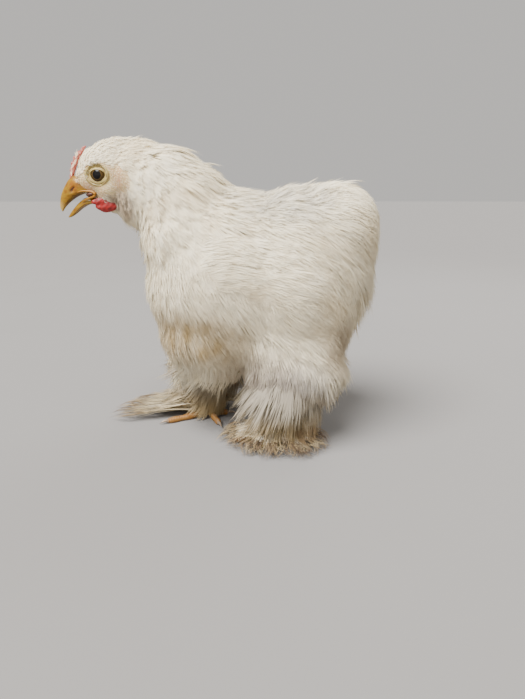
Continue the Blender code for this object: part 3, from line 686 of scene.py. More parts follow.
# Painted shade in the lids' rim and creases.
LID_CREASE_SHADE = (0.15, 0.10, 0.028)
FOOT_CREAM = (0.84, 0.72, 0.48)
FOOT_WHITE = (0.78, 0.72, 0.60)
# The lids' paint reads this painted crease shade as tip.
FOOT_BROWN = (0.36, 0.25, 0.10)
FAR_FOOT = (0.38, 0.32, 0.20)
# Painted shade over the upper shank feathers, under the body.
LEG_SHADE_GREY = (0.30, 0.26, 0.20)
LEG_TAN = (0.32, 0.255, 0.15)
STRAND_DARK = (0.075, 0.045, 0.022)
STRAND_BROWN = (0.22, 0.15, 0.07)
STRAND_CREAM = (0.40, 0.32, 0.18)
BILL_YELLOW = (0.245, 0.13, 0.0008)
BILL_ORANGE = (0.165, 0.063, 0.0008)
BILL_RIDGE = (0.22, 0.075, 0.004)
BILL_TIP = (0.62, 0.42, 0.12)
CERE = (0.26, 0.075, 0.003)
# Painted shade in the nostrils.
NOSTRIL_SHADE = (0.05, 0.011, 0.004)
COMB_RED = (0.34, 0.05, 0.036)
COMB_PALE = (0.48, 0.19, 0.13)
WATTLE_RED = (0.27, 0.005, 0.002)
WATTLE_DARK = (0.17, 0.005, 0.003)
# The mouth's near-black reds are painted shade inside the open bill.
MOUTH_SHADE_RED = (0.12, 0.04, 0.028)
MOUTH_SHADE_DARK = (0.05, 0.02, 0.015)
GAPE_YELLOW = (0.36, 0.18, 0.004)
GAPE_ORANGE = (0.30, 0.09, 0.008)
TOE_PALE = (0.27, 0.125, 0.022)
TOE_DEEP = (0.22, 0.092, 0.017)
TOE_DUST = (0.28, 0.20, 0.12)
CLAW_DARK = (0.17, 0.12, 0.08)
CLAW_PALE = (0.32, 0.23, 0.15)
IRIS_BROWN = (0.075, 0.042, 0.011)
IRIS_DARK = (0.04, 0.022, 0.007)
IRIS_RING = (0.10, 0.058, 0.016)
PUPIL = (0.004, 0.003, 0.003)
EYE_RIM = (0.03, 0.02, 0.015)
FLOOR_PALE = (0.194, 0.184, 0.174)
FLOOR_DEEP = (0.186, 0.176, 0.166)

# How far light goes under thin skin, the bill's horn and flesh full of blood.
SKIN_GLOW = (0.15, (2, 0.8, 0.4))
HORN_GLOW = (0.1, (2, 1, 0.5))
BLOOD_GLOW = (0.2, (3, 1, 0.5))
FEATHER_ROUGH = 0.75
SPOT_EDGES = (0.35, 0.7)
STREAKED = (1, 1, 0.45)

# Stains and painted shade of the plumage: middle, reach, strength, and the colour that they turn it to.
# The tan and brown ones are stains; the dusty one is dust and painted shade low on the body; the grey
# and shade ones on thigh and saddle are painted shade; the grey one at the breast front greys it there.
STAINS_AND_SHADE = (
    # Dust and painted shade over the low flank and thighs.
    ((40, 6, 46), (56, 56, 38), 1, DUST_AND_SHADE),
    # Painted shade: grey on the thigh, then on the saddle.
    ((46, 26, 42), (36, 44, 30), 0.95, GREY),
    ((30, 16, 172), (60, 50, 24), 0.6, GREY),
    ((34, -43, 80), (62, 50, 28), 0.95, TAN),
    ((0, -74, 74), (40, 22, 30), 0.75, TAN),
    ((34, 52, 72), (36, 20, 28), 0.75, BROWN),
    # Painted shade on the thigh.
    ((48, 2, 44), (34, 40, 30), 0.85, SHADE),
    ((34, 20, 30), (44, 54, 24), 0.5, TAN),
    ((-20, -50, 28), (50, 50, 26), 0.45, TAN),
    # Greyer at the breast front.
    ((0, -90, 118), (26, 9, 24), 0.45, GREY),
)

# Marks on either side of the bare face: middle, reach, strength and colour.
FACE_MARKS = (
    ((13, -110, 186), (14, 13, 10), 0.6, FACE_YELLOW),
    ((13, -93, 184), (8, 9, 10), 0.6, FACE_PINK),
    ((11, -119, 178), (8, 7, 5), 0.5, FACE_PINK),
    ((13.5, -92.5, 182), (4, 4.5, 1.8), 0.95, EAR_RED),
)
CHEEK_PLACE = ((13, -96, 166), (12, 14, 17))

# Olive and brown places of the feathers round the shanks: middle, reach and strength of the olive
# ones, the first soil and the second painted shade of a dark hollow, and middle and reach of the brown
# soil; then the heights over which the soiled tan below gives way to the painted grey shade above.
OLIVE_SOIL_AND_SHADE = (
    ((44, 9, 32), (9, 10, 11), 0.6),
    # Painted shade: a dark hollow in front of the near leg.
    ((32, -16, 33), (9, 9, 8), 0.7),
)
BROWN_PLACE = ((-34, -82, 32), (32, 18, 14))
SOIL_TO_SHADE_HEIGHTS = (4, 34)


def warmed(paint, colour):
    """A broad warm cast that comes and goes."""
    return paint.spotted(colour, CREAM, 30, (0.45, 0.75), 0.35)


def stained_and_shaded(paint, colour):
    """The same stains and painted shade on skin and coat."""
    patches = paint.noise(9, 5, STREAKED, 0.7).ease(0.3, 0.7)
    for middle, reach, strength, stain in STAINS_AND_SHADE:
        mask = paint.near(middle, reach) * strength * (0.3 + patches * 0.7)
        colour = paint.mix(mask, colour, stain)
    return colour


def plumage_paint():
    """White, warmer at the roots, stained where she brushes the ground, with painted shade on the thighs,
    the low body and the saddle, speckled at her cheeks.
    """
    paint = Paint("plumage", PLUMAGE, FEATHER_ROUGH)
    colour = paint.mix(paint.share("tip").ease(0.1, 0.75), PLUMAGE_ROOT, PLUMAGE)
    colour = warmed(paint, colour)
    colour = paint.mix(paint.share("tint").ease(0.55, 1) * 0.14, colour, GREY)
    # Stains, and painted shade on thighs, low body and saddle.
    colour = stained_and_shaded(paint, colour)
    cheek = paint.both(*CHEEK_PLACE)
    specks = paint.noise(2, 3, STREAKED).ease(0.42, 0.6)
    colour = paint.mix(cheek * 0.65, colour, CHEEK)
    paint.set("Base Color", paint.mix(cheek * specks * 0.85, colour, SPECK))
    paint.let_light_through(0.35, PLUMAGE)
    return paint.material


def foot_plumage_paint():
    """The foot feathers: cream at the root, soiled brown towards the floor and the tips."""
    paint = Paint("foot_plumage", CREAM, FEATHER_ROUGH)
    tip = paint.share("tip")
    tint = paint.share("tint")
    patches = paint.noise(7, 4).ease(0.38, 0.62)
    colour = paint.mix(tip.ease(0.25, 0.95) * 0.85, FOOT_CREAM, FOOT_BROWN)
    colour = paint.mix(tip.ease(0.35, 0.95) * patches * 0.9, colour, DIRT)
    clean = tint.ease(0.45, 0.9) * (1 - tip.ease(0.6, 1))
    colour = paint.mix(clean * 0.8, colour, FOOT_WHITE)
    colour = paint.mix(paint.near((-36, -90, 8), (40, 44, 24)) * 0.55, colour, FAR_FOOT)
    soiled = paint.near((38, 32, 4), (34, 28, 18)) * (0.45 + patches * 0.5)
    paint.set("Base Color", paint.mix(soiled, colour, BROWN))
    paint.let_light_through(0.12, CREAM)
    return paint.material


def strand_paint():
    """Soiled brown strands, some of them cream."""
    paint = Paint("strands", BROWN, FEATHER_ROUGH)
    colour = paint.mix(paint.share("tint").ease(0.3, 0.9), STRAND_DARK, STRAND_BROWN)
    paint.set("Base Color", paint.spotted(colour, STRAND_CREAM, 9, (0.5, 0.7), 0.4))
    return paint.material


def leg_plumage_paint():
    """The feathers round the shank: grey painted shade above, under the body, and cream and soiled towards
    the floor.
    """
    paint = Paint("leg_plumage", CREAM, FEATHER_ROUGH)
    tip = paint.share("tip")
    height = paint.node("ShaderNodeSeparateXYZ", values={0: paint.coords()}, output="Z")
    low = 1 - height.ease(*(edge * MM for edge in SOIL_TO_SHADE_HEIGHTS))
    patches = paint.noise(8, 4).ease(0.36, 0.62)
    # Painted grey shade above, soiled tan below.
    colour = paint.mix(low, LEG_SHADE_GREY, LEG_TAN)
    # Olive soil, and at the second place painted shade of a hollow.
    for middle, reach, strength in OLIVE_SOIL_AND_SHADE:
        colour = paint.mix(paint.near(middle, reach) * strength, colour, OLIVE)
    colour = paint.mix(paint.near(*BROWN_PLACE) * (0.35 + patches * 0.5), colour, BROWN)
    colour = paint.mix(low * tip.ease(0.2, 1) * (0.4 + patches * 0.6), colour, TAN)
    paint.set("Base Color", paint.mix(low * tip.ease(0.6, 1) * patches * 0.6, colour, DIRT))
    paint.let_light_through(0.25, PLUMAGE)
    return paint.material


def skin_paint():
    """Her skin: plumage's white under the coat with the coat's stains and painted shade, and the bare face
    in cream, pink and yellow.
    """
    paint = Paint("skin", PLUMAGE, 0.7)
    # The coat's stains and painted shade lie on the skin too.
    colour = stained_and_shaded(paint, warmed(paint, PLUMAGE_ROOT))
    flesh = paint.spotted(FACE, FACE_PINK, 5, (0.4, 0.7), 0.5)
    for middle, reach, strength, mark in FACE_MARKS:
        flesh = paint.mix(paint.both(middle, reach) * strength, flesh, mark)
    flesh = paint.mix(paint.noise(1.4, 3, (1, 0.6, 1.4)).ease(0.5, 0.68) * 0.35, flesh, FACE_GRAIN)
    paint.set("Base Color", paint.mix(paint.share("bare").ease(0, 0.9), colour, flesh))
    paint.let_light_in(*SKIN_GLOW)
    paint.grained(1.1, 0.9, 0.6, detail=5)
    return paint.material


def lid_paint():
    """Pale yellow lids with painted shade in their rim and creases."""
    paint = Paint("lids", FACE_YELLOW, 0.5)
    colour = paint.spotted(LID_PALE, LID_DEEP, 1.5, (0.4, 0.7), 0.6, detail=4)
    paint.set("Base Color", paint.mix(paint.share("tip"), colour, LID_CREASE_SHADE))
    paint.let_light_in(*SKIN_GLOW)
    paint.grained(0.5, 0.4, 0.2, detail=4)
    return paint.material


def bill_paint():
    """Streaked yellow horn, darker on the ridge and at the cere, pale at the tips, with painted shade in the
    nostrils.
    """
    paint = Paint("bill", BILL_YELLOW, 0.35)
    streaks = paint.noise(2.5, 4, (1, 0.35, 1))
    colour = paint.mix(streaks.ease(*SPOT_EDGES), BILL_YELLOW, BILL_ORANGE)
    colour = paint.mix(paint.share("tip").ease(0.8, 1) * 0.45, colour, BILL_RIDGE)
    colour = paint.mix(paint.near((0, -140, 163), (6, 6, 8)) * 0.45, colour, BILL_TIP)
    colour = paint.mix(paint.both((5, -129, 178), (6, 5, 6)) * 0.5, colour, CERE)
    # Painted shade, nearly black, in the nostril's pit.
    colour = paint.mix(paint.share("pit").ease(0.15, 0.7) * 0.95, colour, NOSTRIL_SHADE)
    paint.set("Base Color", colour)
    paint.set("Specular IOR Level", 0.35)
    paint.set("Coat Weight", 0.1)
    paint.let_light_in(*HORN_GLOW)
    paint.bump(streaks, 0.25, 0.2)
    return paint.material


def comb_paint():
    paint = Paint("comb", COMB_PALE, 0.5)
    paint.set("Base Color", paint.spotted(COMB_RED, COMB_PALE, 1.4, SPOT_EDGES))
    paint.let_light_in(*BLOOD_GLOW)
    paint.grained(0.7, 0.6, 0.4)
    return paint.material


def wattle_paint():
    paint = Paint("wattle", WATTLE_RED, 0.42)
    paint.set("Base Color", paint.spotted(WATTLE_RED, WATTLE_DARK, 2, SPOT_EDGES))
    paint.let_light_in(*BLOOD_GLOW)
    paint.grained(0.8, 0.5, 0.35)
    return paint.material


def mouth_paint():
    paint = Paint("mouth", MOUTH_SHADE_RED, 0.5)
    # Dark reds as painted shade inside the open bill.
    paint.set("Base Color", paint.mix(paint.noise(2, 2), MOUTH_SHADE_RED, MOUTH_SHADE_DARK))
    return paint.material


def gape_paint():
    paint = Paint("gape", GAPE_YELLOW, 0.45)
    paint.set("Base Color", paint.mix(paint.noise(1.6), GAPE_YELLOW, GAPE_ORANGE))
    paint.grained(0.6, 0.4, 0.25)
    return paint.material


def toe_paint():
    """Orange toes and scutes, dusty in places."""
    paint = Paint("toes", TOE_PALE, 0.5)
    colour = paint.spotted(TOE_PALE, TOE_DEEP, 3, SPOT_EDGES)
    paint.set("Base Color", paint.spotted(colour, TOE_DUST, 5, (0.5, 0.75), 0.6, detail=4))
    paint.grained(0.7, 0.4, 0.25)
    return paint.material


def claw_paint():
    paint = Paint("claws", CLAW_DARK, 0.4)
    paint.set("Base Color", paint.spotted(CLAW_DARK, CLAW_PALE, 1.5, SPOT_EDGES))
    paint.bump(paint.noise(1, 3, (0.4, 0.4, 1)), 0.3, 0.2)
    return paint.material


def eye_paint(side_name):
    """Iris and pupil as rings round the eye's axis, under a clear cornea."""
    paint = Paint("eye_" + side_name, IRIS_BROWN, 0.06)
    centre, axis = eye_place(SIDES[side_name])
    values = {"Vector": paint.coords(), "Location": [-value for value in to_frame(centre)]}
    place = paint.node("ShaderNodeMapping", values=values)
    heading = paint.node("ShaderNodeVectorMath", {"operation": "NORMALIZE"}, {0: place})
    values = {0: heading, 1: axis}
    along = paint.node("ShaderNodeVectorMath", {"operation": "DOT_PRODUCT"}, values, output="Value")
    pupil_edge = math.sqrt(1 - (PUPIL_RADIUS / EYE_RADIUS) ** 2)
    iris_edge = math.sqrt(1 - (IRIS_RADIUS / EYE_RADIUS) ** 2)
    iris = paint.spotted(IRIS_BROWN, IRIS_DARK, 0.9, (0.3, 0.7), detail=4)
    iris = paint.mix(along.ease(pupil_edge - 0.07, pupil_edge) * 0.5, iris, IRIS_RING)
    colour = paint.mix(along.ease(pupil_edge - 0.012, pupil_edge + 0.012), iris, PUPIL)
    colour = paint.mix(1 - along.ease(iris_edge - 0.03, iris_edge + 0.02), colour, EYE_RIM)
    paint.set("Base Color", colour)
    paint.set("Specular IOR Level", 0.17)
    return paint.material


def stage_paint():
    paint = Paint("floor", FLOOR_PALE, 0.9)
    paint.set("Base Color", paint.mix(paint.noise(120, 2), FLOOR_PALE, FLOOR_DEEP))
    return paint.material


def link(obj):
    bpy.context.scene.collection.objects.link(obj)
    return obj


def make_object(name, shape, material=None):
    """An object that holds a bmesh made in the frame's metres."""
    bmesh.ops.recalc_face_normals(shape, faces=shape.faces[:])
    mesh = bpy.data.meshes.new(name)
    shape.to_mesh(mesh)
    shape.free()
    mesh.shade_smooth()
    if material:
        mesh.materials.append(material)
    return link(bpy.data.objects.new(name, mesh))


def settle(obj):
    """Turn the object's modifiers into its mesh."""
    depsgraph = bpy.context.evaluated_depsgraph_get()
    mesh = bpy.data.meshes.new_from_object(obj.evaluated_get(depsgraph))
    obj.modifiers.clear()
    obj.data = mesh


def subdivide(obj, levels):
    finer = obj.modifiers.new("Finer", "SUBSURF")
    finer.levels = levels
    finer.render_levels = levels
    settle(obj)
    obj.data.shade_smooth()


def keep(obj, slot, *nodes):
    """Put a finished piece on the body and hide the nodes that it stands for; the slot is not used."""
    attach(obj, "root")
    if nodes:
        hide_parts(*nodes)


def dress(obj, material):
    obj.data.materials.clear()
    obj.data.materials.append(material)
    obj.data.shade_smooth()


def mark(mesh, name, values):
    """Give each of the mesh's points a number that the paints read by this name."""
    attribute = mesh.attributes.new(name, "FLOAT", "POINT")
    attribute.data.foreach_set("value", np.asarray(values, np.float32))


def add_remesh(obj, voxel):
    remesh = obj.modifiers.new("Remesh", "REMESH")
    remesh.mode = "VOXEL"
    remesh.voxel_size = voxel * MM


def add_smooth(obj, rounds, group=""):
    smooth = obj.modifiers.new("Smooth", "SMOOTH")
    smooth.iterations = rounds
    smooth.vertex_group = group


def fuse(obj, voxel, rounds, material):
    """Make the object's overlapping masses one smooth skin."""
    add_remesh(obj, voxel)
    add_smooth(obj, rounds)
    settle(obj)
    dress(obj, material)


def add_mass(shape, centre, half, tilt=0, finer=4):
    """One ellipsoid, tilted about X."""
    place = Matrix.Translation(spot(centre)) @ Matrix.Rotation(math.radians(tilt), 4, "X")
    place = place @ Matrix.Diagonal((*[size * MM for size in half], 1))
    bmesh.ops.create_icosphere(shape, subdivisions=finer, radius=1, matrix=place)


def add_loft(shape, rings):
    """A closed skin through rings of equally many points in millimetres; a ring of one is a tip."""
    loops = [[shape.verts.new(spot(point)) for point in ring] for ring in rings]
    for first, second in zip(loops, loops[1:]):
        count = max(len(first), len(second))
        for index in range(count):
            following = (index + 1) % count
            if len(second) == 1:
                shape.faces.new((first[index], first[following], second[0]))
            elif len(first) == 1:
                shape.faces.new((first[0], second[following], second[index]))
            else:
                corners = (first[index], first[following], second[following], second[index])
                shape.faces.new(corners)
    for loop in (loops[0], loops[-1]):
        if len(loop) > 1:
            shape.faces.new(loop)


def place_along(points, share):
    """The stretch of a line that a share of its way falls on, and the share of that stretch."""
    place = share * (len(points) - 1)
    index = min(int(place), len(points) - 2)
    return index, place - index


def point_along(points, share):
    index, part = place_along(points, share)
    return points[index].lerp(points[index + 1], part)


def level_headings(start, end):
    """The level direction from one point to another, and the one to its left."""
    ahead = Vector((end.x - start.x, end.y - start.y, 0)).normalized()
    return ahead, Vector((-ahead.y, ahead.x, 0))


def unit(vectors, guard=0.0):
    """The vectors at length one; the guard stays off a division by zero."""
    return vectors / (np.linalg.norm(vectors, axis=-1, keepdims=True) + guard)


def heading_at(points, index):
    """The direction of a path at one of its points."""
    after = points[min(index + 1, len(points) - 1)]
    return (after - points[max(index - 1, 0)]).normalized()


def coat_spots():
    """The coat's spots of both sides as arrays: places, lies and the four sizes."""
    places = []
    lies = []
    sizes = []
    for place, lie, *size in COAT_SPOTS.values():
        for side in SIDES.values():
            places.append((place[0] * side, place[1], place[2]))
            lies.append((lie[0] * side, lie[1], lie[2]))
            sizes.append(size)
    return np.array(places, float), np.array(lies, float), np.array(sizes, float)


def coat_at(points):
    """Lie of the feathers and their length, half width, depth and looseness, blended at points."""
    places, lies, sizes = coat_spots()
    gaps = ((points[:, None, :] - places[None, :, :]) ** 2).sum(axis=2)
    weights = 1 / (gaps + SPOT_BLEND) ** 2
    weights /= weights.sum(axis=1, keepdims=True)
    return weights @ lies, weights @ sizes


def face_share(points):
    """1 on the bare face of either side, 0 outside it."""
    mirrored = points.copy()
    mirrored[:, 0] = np.abs(mirrored[:, 0])
    share = np.zeros(len(points))
    for middle, reach in BARE_PLACES:
        gaps = (mirrored - np.array(middle)) / np.array(reach)
        share = np.maximum(share, 1.6 - 1.2 * np.sqrt((gaps ** 2).sum(axis=1)))
    return np.clip(share, 0, 1)


def mesh_vectors(mesh, name):
    flat = np.empty(len(mesh.vertices) * 3)
    mesh.vertices.foreach_get(name, flat)
    return flat.reshape(-1, 3)


def mesh_points(mesh):
    """The mesh's points in millimetres."""
    return mesh_vectors(mesh, "co") / MM + np.array(MIDDLE)


def mesh_normals(mesh):
    return mesh_vectors(mesh, "normal")


def place_points(mesh, points):
    mesh.vertices.foreach_set("co", to_frame(points).ravel())
    mesh.update()


def keep_above(mesh, lowest):
    """Raise what lies lower to this height over the floor."""
    points = mesh_points(mesh)
    points[:, 2] = np.maximum(points[:, 2], lowest)
    place_points(mesh, points)


class Skin:
    """Nearest and first-met points of a form, in millimetres."""

    def __init__(self, *objects):
        points = []
        faces = []
        for obj in objects:
            start = len(points)
            points.extend(map(tuple, mesh_points(obj.data)))
            faces.extend([start + index for index in polygon.vertices] for polygon in obj.data.polygons)
        self.tree = BVHTree.FromPolygons(points, faces)

    def near(self, point):
        place, normal, _, _ = self.tree.find_nearest(point)
        return place, normal

    def shot(self, start, direction):
        return self.tree.ray_cast(start, direction)[0]


def outer_form():
    """The coat's outer form: rounded masses fused to one skin, smoother on the body than on the head."""
    shape = bmesh.new()
    for centre, half in BODY_MASSES + HEAD_MASSES:
        add_mass(shape, centre, half)
    obj = make_object("skin", shape)
    add_remesh(obj, SKIN_VOXEL)
    settle(obj)
    points = mesh_points(obj.data)
    soft = (points[:, 1] - HEAD_START + HEAD_BLEND) / (2 * HEAD_BLEND)
    group = obj.vertex_groups.new(name="soft")
    for index, weight in enumerate(np.clip(soft, HEAD_SOFTNESS, 1)):
        group.add((index,), float(weight), "REPLACE")
    add_smooth(obj, SKIN_ROUNDS, "soft")
    settle(obj)
    obj.vertex_groups.clear()
    return obj


def sink_coat(obj):
    """Move the skin in by the depth of its coat, and seat the eyes."""
    points = mesh_points(obj.data)
    normals = mesh_normals(obj.data)
    _, sizes = coat_at(points)
    depth = sizes[:, 2] * (1 - face_share(points))
    points -= normals * depth[:, None]
    for side in SIDES.values():
        centre, axis = (np.array(part) for part in eye_place(side))
        gaps = points - centre
        along = gaps @ axis
        away = np.linalg.norm(gaps - along[:, None] * axis, axis=1)
        seat = (away < EYE_SEAT) & (along > 0)
        press = np.clip((EYE_SEAT + 0.2 - away[seat]) * 1.5, 0, 1)
        points[seat] -= np.outer(along[seat] * press, axis)
    place_points(obj.data, points)
    mark(obj.data, "bare", face_share(points))


def unwrap(obj):
    """Unwrap the skin's own shape into the map that the coat's patches lie on."""
    layer = obj.data.uv_layers.new(name="OFBake")
    obj.data.uv_layers.active = layer
    bpy.context.view_layer.objects.active = obj
    obj.select_set(True)
    bpy.ops.object.mode_set(mode="EDIT")
    bpy.ops.mesh.select_all(action="SELECT")
    bpy.ops.uv.smart_project(angle_limit=math.radians(66), island_margin=0.006)
    bpy.ops.object.mode_set(mode="OBJECT")
    obj.select_set(False)


def triangles_of(mesh):
    """Corners of the mesh's triangles and their UV places."""
    mesh.calc_loop_triangles()
    corners, loops = (np.empty(len(mesh.loop_triangles) * 3, np.int32) for _ in range(2))
    mesh.loop_triangles.foreach_get("vertices", corners)
    mesh.loop_triangles.foreach_get("loops", loops)
    return corners.reshape(-1, 3), loop_places(mesh)[loops].reshape(-1, 3, 2)


def loop_places(mesh):
    flat = np.empty(len(mesh.loops) * 2)
    mesh.uv_layers["OFBake"].data.foreach_get("uv", flat)
    return flat.reshape(-1, 2)


def scatter(obj, seed):
    """Roots spread evenly over the skin, close where its feathers are small."""
    draw = np.random.default_rng(seed)
    points = mesh_points(obj.data)
    corners, places = triangles_of(obj.data)
    first, second, third = (points[corners[:, index]] for index in range(3))
    cross = np.cross(second - first, third - first)
    areas = np.linalg.norm(cross, axis=1) / 2
    middles = (first + second + third) / 3
    _, sizes = coat_at(middles)
    spacing = np.maximum(ROOT_SPREAD * np.sqrt(sizes[:, 0] * sizes[:, 1]), LEAST_SPREAD)
    hidden = (middles[:, 2] < BELLY_TOP) & (np.abs(middles[:, 0]) < BELLY_HALF_WIDTH)
    spacing[hidden] = np.maximum(spacing[hidden], BELLY_SPREAD)
    want = areas / spacing ** 2 * (face_share(middles) < BARE_LIMIT)
    tries = int(want.sum() * ROOT_TRIES)
    picks = draw.choice(len(areas), size=tries, p=want / want.sum())
    shares = draw.random((tries, 2))
    over = shares.sum(axis=1) > 1
    shares[over] = 1 - shares[over]
    weights = np.stack([1 - shares.sum(axis=1), shares[:, 0], shares[:, 1]], axis=1)
    roots = (points[corners[picks]] * weights[:, :, None]).sum(axis=1)
    maps = (places[picks] * weights[:, :, None]).sum(axis=1)
    chosen = spread_out(roots, spacing[picks])
    return roots[chosen], unit(cross[picks])[chosen], maps[chosen]


def spread_out(roots, spacing):
    """Indices of roots that keep their spacing from each other, taken in order."""
    cell = float(spacing.max())
    steps = list(itertools.product((-1, 0, 1), repeat=3))
    grid = {}
    chosen = []
    for index, (root, room) in enumerate(zip(roots.tolist(), spacing.tolist())):
        x, y, z = (int(value // cell) for value in root)
        cells = (grid.get((x + right, y + back, z + up), ()) for right, back, up in steps)
        if all(math.dist(root, other) >= room for others in cells for other in others):
            grid.setdefault((x, y, z), []).append(root)
            chosen.append(index)
    return chosen


def lay_patch(skin, root, normal, lie, length, half):
    """Places and normals under one feather: on the skin, or hanging where low feathers leave it."""
    place = Vector(root)
    normal = Vector(normal)
    lie = Vector(lie)
    grid = []
    hints = []
    for station in range(STATIONS):
        low = place.z < HANG_BELOW or (place.z < REAR_HANG_BELOW and place.y > REAR_START)
        cling = HANGING if low and lie.dot(normal) > HANG_SLOPE else 1
        along = (lie - normal * lie.dot(normal) * cling).normalized()
        if station:
            ahead = place + along * length / (STATIONS - 1)
            near, hint = skin.near(ahead)
            place = ahead.lerp(near, cling)
            place.z = max(place.z, LOWEST_FEATHER)
            normal = normal.lerp(hint, cling).normalized()
            along = (lie - normal * lie.dot(normal) * cling).normalized()
        across = along.cross(normal).normalized()
        for column in COLUMNS:
            aside = place + across * half * column
            near, hint = skin.near(aside)
            grid.append(aside.lerp(near, cling))
            hints.append(normal.lerp(hint, cling))
    return grid, hints


def free_patch(points, ups, half):
    """A grid of places and normals round a path that stands in the air."""
    grid = []
    hints = []
    for index, (point, up) in enumerate(zip(points, ups)):
        along = heading_at(points, index)
        up = (up - along * up.dot(along)).normalized()
        across = along.cross(up)
        for column in COLUMNS:
            grid.append(point + across * half * column)
            hints.append(up)
    return grid, hints


class Feathers:
    """Feathers that are gathered as patches and then grown into one mesh of tapered barbs."""

    def __init__(self):
        self.grids = []
        self.hints = []
        self.sizes = []
        self.maps = []

    def add(self, patch, length, half, depth, loose, place):
        grid, hints = patch
        self.grids.append(grid)
        self.hints.append(hints)
        self.sizes.append((length, half, depth, loose))
        self.maps.append(place)

    def grow(self, name, material, barbs, width, seed):
        """One mesh with these barbs for each feather."""
        draw = np.random.default_rng(seed)
        count = len(self.grids)
        shape = (count, STATIONS, len(COLUMNS), 3)
        grids, hints = (
            np.array([[tuple(vector) for vector in row] for row in table]).reshape(shape)
            for table in (self.grids, self.hints))
        length, half, depth, loose = (column[:, None, None] for column in np.array(self.sizes).T)
        start, end, reach = (row[None, :, None] for row in np.array(barbs).T)

        def vary():
            return draw.standard_normal((count, len(barbs), 1))

        ends = end * (1 + END_SCATTER * vary())
        reaches = reach * (1 + REACH_SCATTER * loose * vary())
        reaches = reaches + REACH_DRIFT * loose * vary()
        starts = start + START_SCATTER * draw.random((count, len(barbs), 1))
        steps = np.array(BARB_STEPS)[None, None, :]
        along = np.clip(starts + (ends - starts) * steps, 0, LONGEST_BARB)
        sideways = reaches * steps ** SWEEP
        sideways = sideways + loose * vary() * CURL * steps ** SOFT_CURL
        stray = np.minimum(np.abs(vary()), MOST_STRAY) * loose
        crown = (CROWN - CROWN_FALL * sideways ** 2) * np.minimum(half, WIDEST_CROWN) * along
        heights = depth * along ** RISE + crown + stray * steps ** 3 * STRAY_LIFT * length
        heights = heights + draw.random((count, 1, 1)) * along * TIER_LIFT
        places, ups = patch_places(grids, hints, along, sideways)
        places = places + ups * heights[..., None]
        twist = vary()[..., None] * TWIST
        points, soft = blades(places, ups, twist, width, draw)
        tint = np.repeat(draw.random(count), len(barbs) * BARB_POINTS)
        tip = blade_values(along)
        offsets = np.stack([blade_values(sideways), tip - 0.5], axis=3) * MAP_SPREAD
        maps = (np.array(self.maps)[:, None, None, :] + offsets).reshape(-1, 2)
        values = {"tip": tip.ravel(), "tint": tint}
        return blade_mesh(name, material, points, soft, maps, values)


def patch_places(grids, hints, along, sideways):
    """Places and normals of feathers' grids at shares along and across them."""
    scaled = np.clip(along, 0, 0.9999) * (STATIONS - 1)
    low = np.clip(scaled.astype(int), 0, STATIONS - 2)
    part = (along * (STATIONS - 1) - low)[..., None]
    rows = np.arange(len(grids))[:, None, None]
    mixed = []
    for table in (grids, hints):
        columns = []
        for column in range(len(COLUMNS)):
            first = table[rows, low, column]
            second = table[rows, low + 1, column]
            columns.append(first + (second - first) * part)
        left, middle, right = columns
        outer = np.where(sideways[..., None] < 0, left, right)
        mixed.append(middle + (outer - middle) * np.abs(sideways)[..., None])
    places, ups = mixed
    return places, unit(ups)


def blade_values(values):
    """Values of a barb's stations at its points: three each on the first stations, one at the tip."""
    return np.concatenate([np.repeat(values[:, :, :3], 3, axis=2), values[:, :, 3:4]], axis=2)


def blade_rings(left, ridge, right, tip):
    """Rings of three at the first stations and one point at the tip, in the order of the faces."""
    count, barb_count = tip.shape[:2]
    rings = np.stack([left, ridge, right], axis=3).reshape(count, barb_count, BARB_POINTS - 1, 3)
    return np.concatenate([rings, tip], axis=2).reshape(-1, 3)


def blades(places, ups, twist, width, draw):
    """Points and soft normals of three-sided blades round the barbs' paths."""
    headings = unit(np.gradient(places, axis=2), NO_LENGTH)
    across = unit(np.cross(headings, ups), NO_LENGTH)
    across = unit(across + ups * twist)
    spans = np.array(BARB_SPANS)[None, None, :, None] * width / 2
    spans = spans * draw.uniform(*BARB_WIDTHS, (*places.shape[:2], 1, 1))
    body = places[:, :, :3]
    side = across[:, :, :3]
    up = ups[:, :, :3]
    edge = side * spans
    points = blade_rings(body - edge, body + up * spans * RIDGE, body + edge, places[:, :, 3:4])
    lean = side * SIDE_LEAN
    return points, unit(blade_rings(up - lean, up, up + lean, ups[:, :, 3:4]))


def blade_mesh(name, material, points, soft, maps, values):
    """Closed blades as one object: points in millimetres, their normals, OFBake places and values."""
    faces = []
    under = []
    for ring in (0, 3):
        for near, far in ((0, 1), (1, 2), (2, 0)):
            faces.append((ring + near, ring + far, ring + 3 + far))
            faces.append((ring + near, ring + 3 + far, ring + 3 + near))
            under += [near == 2] * 2
    faces += [(6, 7, 9), (7, 8, 9), (8, 6, 9)]
    under += [False, False, True]
    blade_count = len(points) // BARB_POINTS
    starts = np.arange(blade_count)[:, None, None] * BARB_POINTS
    faces = (np.array(faces)[None] + starts).reshape(-1, 3)
    facing = np.where(np.tile(under, blade_count), -1, 1)[:, None, None]
    mesh = bpy.data.meshes.new(name)
    mesh.vertices.add(len(points))
    mesh.vertices.foreach_set("co", to_frame(points).ravel())
    mesh.loops.add(len(faces) * 3)
    mesh.loops.foreach_set("vertex_index", faces.astype(np.int32).ravel())
    mesh.polygons.add(len(faces))
    mesh.polygons.foreach_set("loop_start", np.arange(len(faces), dtype=np.int32) * 3)
    mesh.update(calc_edges=True)
    mesh.shade_smooth()
    layer = mesh.uv_layers.new(name="OFBake")
    layer.data.foreach_set("uv", maps[faces.ravel()].ravel())
    for value_name, value in values.items():
        mark(mesh, value_name, value)
    mesh.normals_split_custom_set((soft[faces] * facing).reshape(-1, 3))
    mesh.materials.append(material)
    return link(bpy.data.objects.new(name, mesh))


